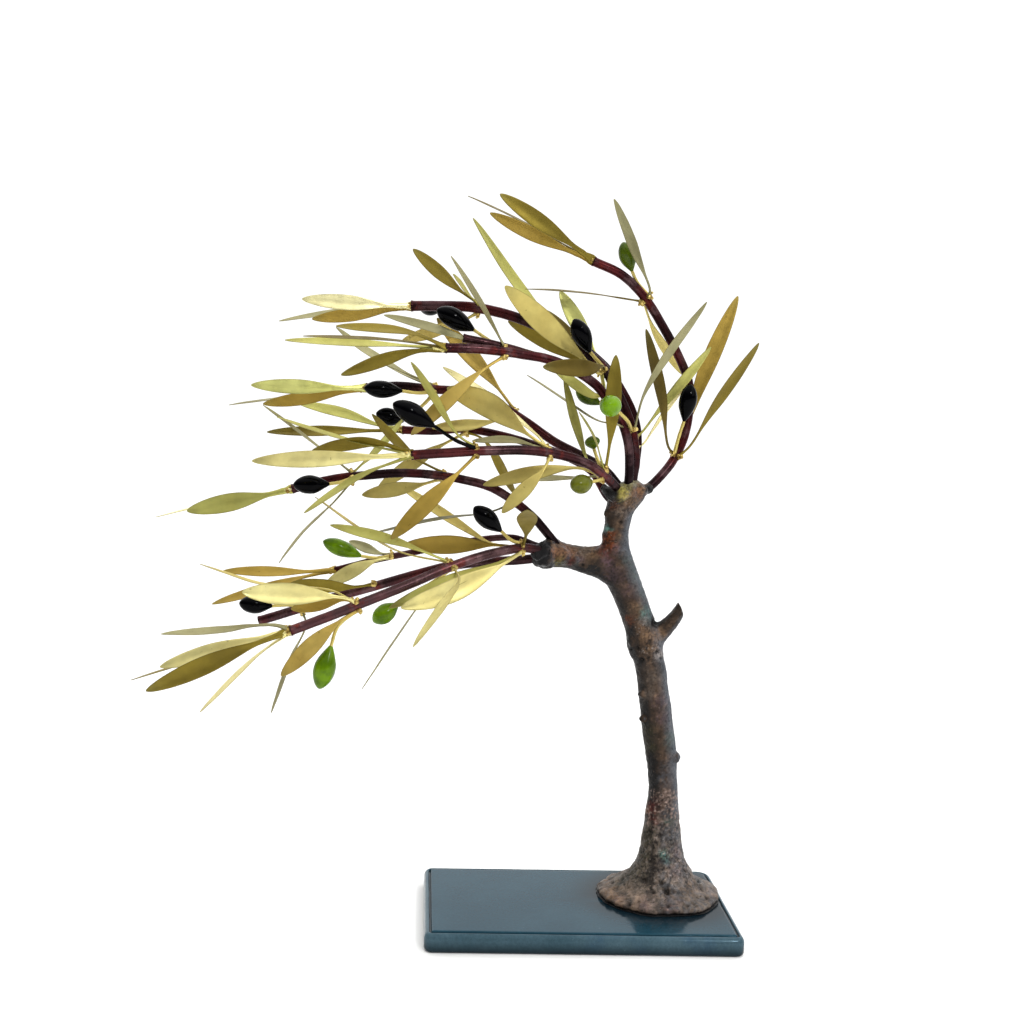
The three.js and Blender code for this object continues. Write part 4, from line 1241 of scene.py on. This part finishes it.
# Patches of patina, a few of them painted shade: pixel across and down, reach in pixels, colour and
# strength
PATCHES = [
    (624, 489, 7.5, "brass", 1.1), (622, 497, 4.5, "brass", 0.7), (628, 494, 4, "brass", 0.5),
    (629, 484, 6, "pearl", 0.9), (636, 481, 4, "pearl", 0.7), (630, 497, 6, "tan", 0.7),
    (639, 492, 6, "copper", 0.9), (643, 488, 4, "tan", 0.6), (633, 504, 6, "tan", 0.5),
    (642, 498, 4, "umber", 0.5), (649.5, 490, 4.5, "pitch", 1.6), (646, 498, 3.5, "soot_and_shade", 1.4),
    (608, 492, 7, "pitch", 3.0), (606, 500, 4, "soot_and_shade", 1.5), (613, 506, 5, "rust", 0.4),
    (608, 514, 5, "umber", 0.9), (608, 522, 5, "umber", 0.9), (620, 512, 7, "clay", 0.4),
    (616, 522, 9, "umber", 0.5), (605, 529, 3.6, "verdigris", 0.95), (609, 529, 3, "verdigris", 0.8),
    (603, 534, 3, "soot_and_shade", 0.9), (611, 535, 5, "rust", 0.95), (606, 542, 7, "rust", 0.9),
    (611, 547, 6, "rust", 0.7), (602, 548, 6, "blood", 0.9), (608, 556, 6, "blood", 0.6),
    (616, 548, 5, "plum", 0.7), (608, 562, 6, "plum", 0.8), (623, 550, 7, "ash_and_sheen", 0.5),
    (629, 562, 7, "sage", 0.6), (590, 554, 8, "tan", 0.75), (583, 551, 6, "clay", 0.7),
    (580, 560, 5, "plum", 0.6), (571, 562, 4.5, "blood", 0.8), (564, 549, 8, "copper", 1.0),
    (555, 543, 6, "tan", 0.9), (574, 552, 6, "copper", 0.6), (556, 553, 6, "copper", 0.8),
    (559, 561, 5, "brass", 0.35), (549, 533, 4, "verdigris", 0.4), (540, 554, 9.5, "pitch", 3.0),
    (533, 552, 9, "pitch", 2.0), (545, 545, 5, "pitch", 2.0), (545, 563, 5, "pitch", 2.0),
    # The dark patches at 592, 570 and 602, 578 and 578, 571 are painted shade under the limb
    (577, 564, 4, "sage", 0.6), (592, 570, 8, "soot_and_shade", 2.0), (602, 578, 6, "soot_and_shade", 1.5),
    (578, 571, 6, "soot_and_shade", 1.5), (612, 574, 8, "plum", 0.5), (622, 575, 9, "plum", 0.4),
    (636, 575, 8, "sage", 0.6), (620, 592, 8, "umber", 0.4), (630, 592, 8, "plum", 0.4),
    (643, 592, 7, "sage", 0.5), (636, 606, 7, "tan", 0.5), (630, 620, 5, "rust", 0.45),
    (646, 612, 6, "verdigris", 0.45), (649, 622, 6, "sage", 0.7), (644, 620, 5, "chalk_and_glint", 0.3),
    # The dark patch at 667, 614 is painted shade in the crevice between the trunk and the stub
    (656, 622, 4, "pitch", 5.0), (661, 621, 3, "pitch", 4.0), (667, 614, 5, "soot_and_shade", 2.0),
    (677, 611, 8, "umber", 1.3), (670, 624, 8, "umber", 1.1), (648, 636, 8, "tan", 0.5),
    (659, 634, 6, "tan", 0.5), (630, 644, 6, "soot_and_shade", 0.9), (641, 648, 6, "umber", 0.6),
    (652, 650, 8, "tan", 0.35), (660, 655, 4.5, "chalk_and_glint", 0.7), (645, 661, 8, "soot_and_shade", 0.6),
    (652, 676, 10, "clay", 0.4), (640, 676, 5, "umber", 0.8), (650, 694, 8, "clay", 0.35),
    (641, 704, 6, "soot_and_shade", 0.6), (660, 702, 8, "plum", 0.4), (662, 718, 7, "plum", 0.4),
    (672, 736, 6, "sage", 0.8), (669, 744, 6, "sage", 0.6), (648, 732, 8, "moss", 0.9),
    (650, 748, 8, "moss", 0.9), (650, 764, 9, "soot_and_shade", 0.8), (652, 780, 9, "soot_and_shade", 0.8),
    (667, 768, 8, "ash_and_sheen", 0.4), (664, 782, 7, "ash_and_sheen", 0.5), (651, 808, 6, "blood", 0.95),
    (654, 820, 5, "blood", 0.8), (657, 802, 5, "blood", 0.5), (665, 796, 8, "rose", 0.5),
    (668, 812, 8, "ash_and_sheen", 0.5), (669, 821, 5, "verdigris", 0.35), (646, 811, 4, "copper", 0.6),
    (648, 836, 9, "moss", 0.9), (646, 854, 8, "moss", 0.8), (671, 836, 9, "ash_and_sheen", 0.6),
    (678, 852, 8, "plum", 0.5), (664, 855, 4.5, "verdigris", 0.8), (666, 862, 4, "verdigris", 0.5),
    (677, 872, 9, "plum", 0.4), (652, 872, 8, "soot_and_shade", 0.6), (636, 874, 8, "moss", 0.6),
    (640, 886, 9, "clay", 0.4), (618, 880, 8, "sage", 0.4), (612, 893, 8, "tan", 0.5),
    (620, 902, 7, "blood", 0.35), (645, 905, 9, "plum", 0.6), (668, 888, 7, "soot_and_shade", 0.6),
    (668, 894, 5, "soot_and_shade", 0.7), (672, 906, 9, "plum", 0.5), (690, 890, 9, "tan", 0.5),
    (697, 897, 8, "clay", 0.5), (700, 880, 4, "sage", 0.5), (711, 893, 5, "rose", 0.5),
    (690, 907, 8, "umber", 0.5),
]


def add_band(shape, rows, sides, depth_share, deepest=math.inf):
    """Rounds off a stretch between its two outlines, no more than deepest millimetres to the front."""
    points = []
    for row in rows:
        one = place(*row[:2], TRUNK_DEPTH)
        other = place(*row[2:], TRUNK_DEPTH)
        centre = (one + other) / 2
        reach = other - centre
        deep = Vector((0, min(reach.length * depth_share, deepest), 0))
        points += [centre + reach * cosine + deep * sine for cosine, sine in ring(sides)]
    shape.add(points, skin(len(rows), sides), (0, 0, 0, 1))


def add_foot(shape, profile):
    points = []
    for height, share in profile:
        for cosine, sine in ring(FOOT_SIDES):
            spot = Vector((cosine, sine, height * 0.05))
            lump = 1 + (0.05 * noise.noise(spot * 1.7) + 0.035 * noise.noise(spot * 5)) * (share > 0.5)
            reach = FOOT_RADIUS * share * lump
            rise = height * (1 + 0.25 * noise.noise(spot * 2.3 + FOOT_SHIFT) * (share > 0.6))
            points.append(Vector((
                FOOT_CENTRE.x + reach * cosine,
                TRUNK_DEPTH - FOOT_FORWARD + reach * FOOT_DEPTH_SHARE * sine,
                SLAB_HEIGHT + rise,
            )))
    shape.add(points, skin(len(profile), FOOT_SIDES), (*linear(*SHADOW_RING_COLOUR)[:3], SHADOW_RING_ROUGHNESS))


def grain(points, scale, seed=0.0):
    """Smooth noise from -1 to 1 at each point, for features about 1 / scale millimetres across."""
    shift = Vector((seed, seed * 1.7, -seed))
    return np.array([noise.noise(Vector(point) * scale + shift) for point in points])


def points_of(mesh):
    """The mesh's points in millimetres."""
    points = np.empty(len(mesh.vertices) * 3)
    mesh.vertices.foreach_get("co", points)
    return points.reshape(-1, 3) / MILLIMETRE


def applied(piece):
    """The mesh that the piece's modifiers make. The piece itself is removed."""
    mesh = bpy.data.meshes.new_from_object(piece.evaluated_get(bpy.context.evaluated_depsgraph_get()))
    bpy.data.objects.remove(piece)
    return mesh


def rough_trunk():
    """One closed mesh of the column, the limb, the stub, the foot and the knots."""
    shape = Shape()
    add_band(shape, COLUMN, 28, 0.88)
    add_band(shape, LIMB, 28, 0.96, 6.6)
    add_band(shape, STUB, 20, 0.9, 4.6)
    add_foot(shape, FOOT_PROFILE)
    dice = random.Random("knots")
    for *spot, radius in KNOTS:
        add_lump(shape, place(*spot), radius, dice, 0, 0.34)
    rough = shape.make("trunk_rough", [])
    remesh = rough.modifiers.new("remesh", "REMESH")
    remesh.mode = "VOXEL"
    remesh.voxel_size = TRUNK_VOXEL * MILLIMETRE
    return applied(rough)


def nearness(across, down, spot, reach):
    """1 at a pixel, and almost nothing at twice the reach from it."""
    return np.exp(-((across - spot[0]) ** 2 + (down - spot[1]) ** 2) / reach**2)


def blended(mesh):
    """The mesh made smooth, a little all over and much more where two forms run into each other."""
    across, down = pixels_of(points_of(mesh))
    blend = np.full(len(across), BLEND_EVERYWHERE)
    for *spot, reach in FILLETS:
        blend += nearness(across, down, spot, reach)
    rough = add_object("trunk_blend", mesh)
    group = rough.vertex_groups.new(name="blend")
    for index, weight in enumerate(unit(blend)):
        group.add([index], float(weight), "REPLACE")
    for name, rounds, where in (("fillet", FILLET_ROUNDS, "blend"), ("smooth", SMOOTH_ROUNDS, "")):
        smooth = rough.modifiers.new(name, "SMOOTH")
        smooth.factor = 0.5
        smooth.iterations = rounds
        smooth.vertex_group = where
    return applied(rough)


class Surface:
    """The points of the smooth trunk, and what is known of each one before it is roughened: its pixel,
    and from 0 to 1 how much it faces the front view, is low, belongs to the foot and is rough."""

    def __init__(self, mesh):
        self.points = points_of(mesh)
        self.normals = np.array([list(item.vector) for item in mesh.vertex_normals])
        self.across, self.down = pixels_of(self.points)
        to_eye = np.array(EYE) - self.points
        to_eye /= np.linalg.norm(to_eye, axis=1)[:, None]
        self.front = unit((np.sum(self.normals * to_eye, axis=1) + 0.25) / 0.6)
        self.low = unit((LOW_HEIGHT - self.points[:, 2]) / 10)
        self.foot = unit((FOOT_HEIGHT - self.points[:, 2]) / 10)
        self.coarse = grain(self.points, 0.85, 7)
        self.rough = np.full(len(self.points), 0.4)
        for *spot, reach, strength in ROUGH_PARTS:
            near = nearness(self.across, self.down, spot, reach)
            self.rough = np.maximum(self.rough, strength * near)
        self.rough = np.maximum(self.rough, 0.8 * self.low)
        self.rough *= 1 - 0.45 * self.foot

    def swell(self):
        """How far each point stands out from the smooth form: lumps, ridges, the seam and the pits."""
        points, across, down = self.points, self.across, self.down
        swell = 0.34 * grain(points, 0.11) + 0.26 * grain(points, 0.3, 3) * (0.5 + self.low)
        swell += 0.3 * self.coarse * (0.25 + self.rough)
        swell += 0.16 * grain(points, 1.7, 13) * (0.2 + self.rough)
        lumps = grain(points * np.array([1, 1, 0.6]), 0.27, 11)
        swell += (0.6 * lumps - 0.2 * np.abs(grain(points, 0.55, 61))) * self.foot
        seam = np.exp(-(((across - MIDDLE_ACROSS + 2.5 * grain(points, 0.2, 23)) / SEAM_WIDTH) ** 2))
        seam *= (down > SEAM_TOP) & (down < SEAM_BOTTOM)
        swell -= SEAM_DEPTH * seam * self.front
        for *spot, reach in PITS:
            swell -= PIT_DEPTH * nearness(across, down, spot, reach) * self.front
        return swell

    def move(self, swell):
        self.points = self.points + self.normals * swell[:, None]
        self.points[:, 2] = np.maximum(self.points[:, 2], SLAB_HEIGHT + FOOT_GAP)

    def patina(self, swell):
        """The paint: patches set one by one and flecks made by noise, laid over each other."""
        points, normals, across, down = self.points, self.normals, self.across, self.down
        low, foot, front, rough = self.low, self.foot, self.front, self.rough
        height = points[:, 2]
        wander = grain(points, 0.35, 19) * 3.4
        drift = grain(points, 0.35, 29) * 3.4
        broken = unit(0.75 + grain(points, 0.9, 37) * 1.1)
        mottle = grain(points, 0.2, 41)
        speck = grain(points, 0.8, 47)
        fleck = grain(points, 0.42, 53)
        turned = normals @ np.array(VIEW_RIGHT)
        tints = {name: np.array(linear(*colour)[:3]) for name, colour in PATINA.items()}
        paint = np.tile(tints["earth"], (len(points), 1))

        def lay(name, weight):
            nonlocal paint
            paint = paint + (tints[name] - paint) * unit(weight)[:, None]

        # All over, then painted light and shade by the side that the surface faces: a grey sheen on
        # surfaces turned to the right, and near-black on those turned to the left and on undersides high up
        lay("umber", 0.35 - mottle * 1.2)
        lay("tan", (fleck * 1.1 - 0.35) * (1 - low) * (0.35 + rough))
        lay("umber", (-fleck * 1.8 - 0.3) * (0.35 + rough))
        lay("ash_and_sheen", 0.85 * unit(turned * 1.6 - 0.22) * (1 - foot))
        lay("soot_and_shade", 0.92 * unit(-turned * 1.9 - 0.12) * (1 - 0.6 * foot))
        lay("soot_and_shade", 0.9 * unit(-normals[:, 2] * 1.5 - 0.35) * (height > UNDERSIDE_HEIGHT))
        lay("clay", low * 0.95 * (0.75 + 0.7 * mottle))
        for patch_across, patch_down, reach, name, strength in PATCHES:
            miss = np.hypot(across + wander - patch_across, down + drift - patch_down) / reach
            lay(name, strength * np.exp(-(miss**2.6)) * (1 if name == "pitch" else front * broken))
        # The worn ring low on the column, then specks and cracks
        below_top = unit((down + wander * 0.4 - WORN_TOP) / 3)
        band = below_top * unit((WORN_BOTTOM - down - wander * 2) / 14)
        lay("rose", band * np.clip(speck * 2.6 - 0.3, 0, 0.95))
        lay("rose", low * np.clip(speck * 2.2 - 0.9, 0, 0.6))
        lay("pitch", (1 - foot) * np.clip(-speck * 2.6 - 0.62, 0, 0.75) * (0.3 + rough))
        lay("soot_and_shade", low * np.clip(-self.coarse * 1.8 - 0.5, 0, 0.5))
        crack = unit(1 - np.abs(grain(points, 0.28, 61) + 0.25 * speck) / CRACK_WIDTH)
        lay("pitch", low * crack * np.clip(0.55 + mottle * 2.5, 0, 0.9))
        # The foot and what stands just above it are warmer on the left and greyer on the right
        left = unit((MIDDLE_ACROSS - across) / 6)
        right = unit((across - MIDDLE_ACROSS - 4) / 6)
        lay("tan", 0.3 * foot * left * unit(0.4 + mottle * 2))
        lay("moss", 0.35 * (low - foot) * left)
        lay("ash_and_sheen", 0.4 * low * right * unit(0.4 + fleck * 2))
        # Painted glints: pale specks on the roughest parts
        lay("chalk_and_glint", 1.6 * unit(rough - 0.44) * unit(grain(points, 1.15, 71) * 3.2 - 1.2))
        # Painted shadow: the foot is near-black just above the slab
        lay("soot_and_shade", np.clip((SLAB_HEIGHT + 1.5 - height) / 0.5, 0, 0.95))
        # Hollows are darker and bumps lighter
        paint = paint * np.clip(1 + swell * (1.7 - 0.8 * foot), 0.3, 1.5)[:, None]
        return np.column_stack([paint, unit(rough)])


def build_trunk():
    mesh = blended(rough_trunk())
    surface = Surface(mesh)
    swell = surface.swell()
    surface.move(swell)
    mesh.vertices.foreach_set("co", (surface.points * MILLIMETRE).ravel())
    paint_points(mesh, surface.patina(swell))
    mesh.materials.clear()
    mesh.materials.append(BRONZE)
    mesh.shade_smooth()
    mesh.name = "trunk_bronze"
    settle(add_object("trunk_bronze", mesh), "trunk")


def build_foot_shadow_ring():
    """A near-black ring under the foot's rim: a painted shadow where the foot meets the slab."""
    shape = Shape()
    add_foot(shape, SHADOW_RING_PROFILE)
    settle(shape.make("foot_shadow_ring", [BRONZE]))


# Slab: heights and insets of its side from the underside up, then insets of its top

SLAB_SIDE = [
    (0.0, 1.6), (0.2, 0.9), (0.7, 0.35), (1.6, 0.05), (2.8, 0.0), (6.0, 0.0), (7.2, 0.12), (8.2, 0.5),
    (9.0, 1.1), (9.5, 1.8), (9.62, 2.2), (9.4, 2.45), (8.5, 2.7), (8.4, 3.1), (8.5, 3.5), (9.5, 3.75),
    (9.85, 4.1), (9.97, 4.5), (10.0, 5.2),
]
SLAB_TOP = [6, 8, 10.5, 13, 16, 19, 22, 25, 28, 31, 34, 38, 42]
# The height from which the side turns into the top, which is a little sunk
SLAB_EDGE = 9
SLAB_SINK = 0.01
GROOVE_INSET = 3.1
GROOVE_WIDTH = 0.45
# Painted shade in the groove, and a painted shadow round the foot: their strengths and the shadow's reach
GROOVE_SHADE = 0.95
FOOT_SHADOW = 0.9
FOOT_SHADOW_REACH = 15
# How far each corner stands out from the solid's corner, millimetres to the right and to the back
SLAB_SPREAD = {
    "front left": (0.4, -1.4),
    "front right": (1.7, -2.6),
    "back left": (-1.3, 0),
    "back right": (2.4, 0.6),
}
# From the front right corner round by the back: where it lies, where its arc starts and its radius
SLAB_CORNERS = [(1, -1, -90, 4.5), (1, 1, 0, 8), (-1, 1, 90, 5), (-1, -1, 180, 4.5)]
CORNER_STEPS = 14
SIDE_STEPS = 40


def slab_outline(inset):
    """Points round the slab from the front right corner, evenly spaced on its sides and corners."""
    arcs = []
    for right, back, start, corner in SLAB_CORNERS:
        pull = max(corner, inset)
        centre = (right * (SLAB_LENGTH / 2 - pull), back * (SLAB_DEPTH / 2 - pull))
        radius = max(corner - inset, 0.05)
        angles = [math.radians(start + 90 * step / CORNER_STEPS) for step in range(CORNER_STEPS + 1)]
        arcs.append([(centre[0] + radius * math.cos(a), centre[1] + radius * math.sin(a)) for a in angles])
    points = []
    for arc, after in zip(arcs, arcs[1:] + arcs[:1]):
        points += arc
        here, ahead = arc[-1], after[0]
        for step in range(1, SIDE_STEPS):
            share = step / SIDE_STEPS
            points.append(tuple(here[axis] + (ahead[axis] - here[axis]) * share for axis in (0, 1)))
    return points


def spread_corner(x, y):
    """The slab's own unevenness: each corner stands a little out from the true rectangle."""
    right = x / SLAB_LENGTH + 0.5
    back = y / SLAB_DEPTH + 0.5
    shares = {
        "front left": (1 - right) * (1 - back),
        "front right": right * (1 - back),
        "back left": (1 - right) * back,
        "back right": right * back,
    }
    return Vector([sum(shares[name] * SLAB_SPREAD[name][axis] for name in shares) for axis in (0, 1)] + [0])


def slab_point(x, y, height):
    spot = Vector((x, y, height))
    uneven = 0.12 * noise.noise(spot * 0.06) + 0.07 * noise.noise(spot * 0.25)
    away = Vector((x / SLAB_LENGTH, y / SLAB_DEPTH, 0)).normalized()
    dip = min(0, 0.05 * noise.noise(spot * 0.05 + Vector((9, 9, 9)))) if height > SLAB_EDGE else 0
    drop = Vector((0, 0, dip - (SLAB_SINK if height >= SLAB_EDGE else 0)))
    return spot - away * abs(uneven) + drop + spread_corner(x, y)


def slab_paint(x, y, height, inset):
    """On the top face or not, the share of the height, and painted shade in the groove with a painted
    shadow round the foot.
    """
    on_top = 1.0 if inset > GROOVE_INSET else 0.0
    groove = GROOVE_SHADE if abs(inset - GROOVE_INSET) < GROOVE_WIDTH else 0.0
    ahead = (y - TRUNK_DEPTH + FOOT_FORWARD) / FOOT_DEPTH_SHARE
    miss = max(0.0, math.hypot(x - FOOT_CENTRE.x, ahead) - FOOT_RADIUS)
    # A painted shadow on the top, fading out from the foot
    dirt_and_shade = FOOT_SHADOW * fade(miss, FOOT_SHADOW_REACH) * on_top
    return on_top, height / SLAB_HEIGHT, max(groove, dirt_and_shade), 1


def build_slab():
    points = []
    paint = []
    levels = [*SLAB_SIDE, *((SLAB_HEIGHT, inset) for inset in SLAB_TOP)]
    for height, inset in levels:
        for x, y in slab_outline(inset):
            points.append(slab_point(x, y, height))
            paint.append(slab_paint(x, y, height, inset))
    shape = Shape()
    shape.add(points, skin(len(levels), len(points) // len(levels)), paint)
    settle(shape.make("slab_stone", [SLATE], sharp=60), "slab")


# Floor, light and camera, in metres

FLOOR_REACH = 6
# Light from all round, then from the white wall behind and from overhead: where each lies, the
# shares between which it fades in, and its strength
ROOM_STRENGTH = 0.2
SOFT_LIGHTS = [((0.2, 0.98, 0), -0.15, 0.6, 0.95), ((0, 0, 1), 0.3, 0.95, 1.3)]
LIT_PLACE = Vector((-0.02, 0, 0.2))
SENSOR_WIDTH = 36


def build_floor():
    mesh = bpy.data.meshes.new("floor")
    corners = [(-1, -1), (1, -1), (1, 1), (-1, 1)]
    mesh.from_pydata([(x * FLOOR_REACH, y * FLOOR_REACH, 0) for x, y in corners], [], [(0, 1, 2, 3)])
    look = Look("floor_paper", {"Roughness": 0.9})
    tone = look.cloud(3, 0.3, 0.7, detail=2)
    look.set("Base Color", look.mix(tone, linear(250, 250, 250), linear(253, 253, 252)))
    mesh.materials.append(look.material)
    add_object("floor", mesh)


def build_world():
    """A white wall behind the tree, a wide soft light overhead, and a dim room in front."""
    world = bpy.data.worlds.new("studio")
    world.use_nodes = True
    bpy.context.scene.world = world
    nodes = Nodes(world.node_tree)
    where = nodes.node("ShaderNodeTexCoord", {}, "Generated")
    total = ROOM_STRENGTH
    for direction, low, high, strength in SOFT_LIGHTS:
        inputs = {0: where, 1: direction}
        along = nodes.node("ShaderNodeVectorMath", inputs, "Value", operation="DOT_PRODUCT")
        total = nodes.sum(nodes.spread(along, low, high, 0.0, strength), total)
    background = nodes.tree.nodes["Background"]
    nodes.put(background.inputs["Color"], (1, 1, 1, 1))
    nodes.put(background.inputs["Strength"], total)


def add_light(name, position, side, power):
    data = bpy.data.lights.new(name, "AREA")
    data.shape = "RECTANGLE"
    data.size = side
    data.size_y = side
    data.energy = power
    light = add_object(name, data)
    light.location = position
    light.rotation_euler = (LIT_PLACE - Vector(position)).to_track_quat("-Z", "Y").to_euler()


def build_camera():
    data = bpy.data.cameras.new("camera")
    data.sensor_width = SENSOR_WIDTH
    data.lens = SENSOR_WIDTH * FOCAL_PIXELS / PICTURE_SIDE
    data.clip_start = 0.01
    data.clip_end = 50
    camera = add_object("camera", data)
    axes = Matrix((VIEW_RIGHT, VIEW_UP, -FORWARD)).transposed()
    camera.matrix_world = Matrix.Translation(EYE * MILLIMETRE) @ axes.to_4x4()
    bpy.context.scene.camera = camera


# Building

for name, (branch, joint, leaves) in SPRAYS.items():
    build_spray(name, branches[branch], joint, leaves)
for name, branch in branches.items():
    build_tube(name, branch, f"branch_{name}")
for name, facts in TWINS.items():
    build_tube(name, Branch(*facts))
for name, olive in OLIVES.items():
    build_olive(name, olive)
build_trunk()
build_foot_shadow_ring()
build_slab()
build_floor()
build_world()
add_light("key", (0.85, -0.55, 0.9), 0.8, 3)
add_light("front", (0.45, -1.1, 0.95), 0.11, 5)
build_camera()
bpy.context.scene.view_settings.view_transform = "Standard"
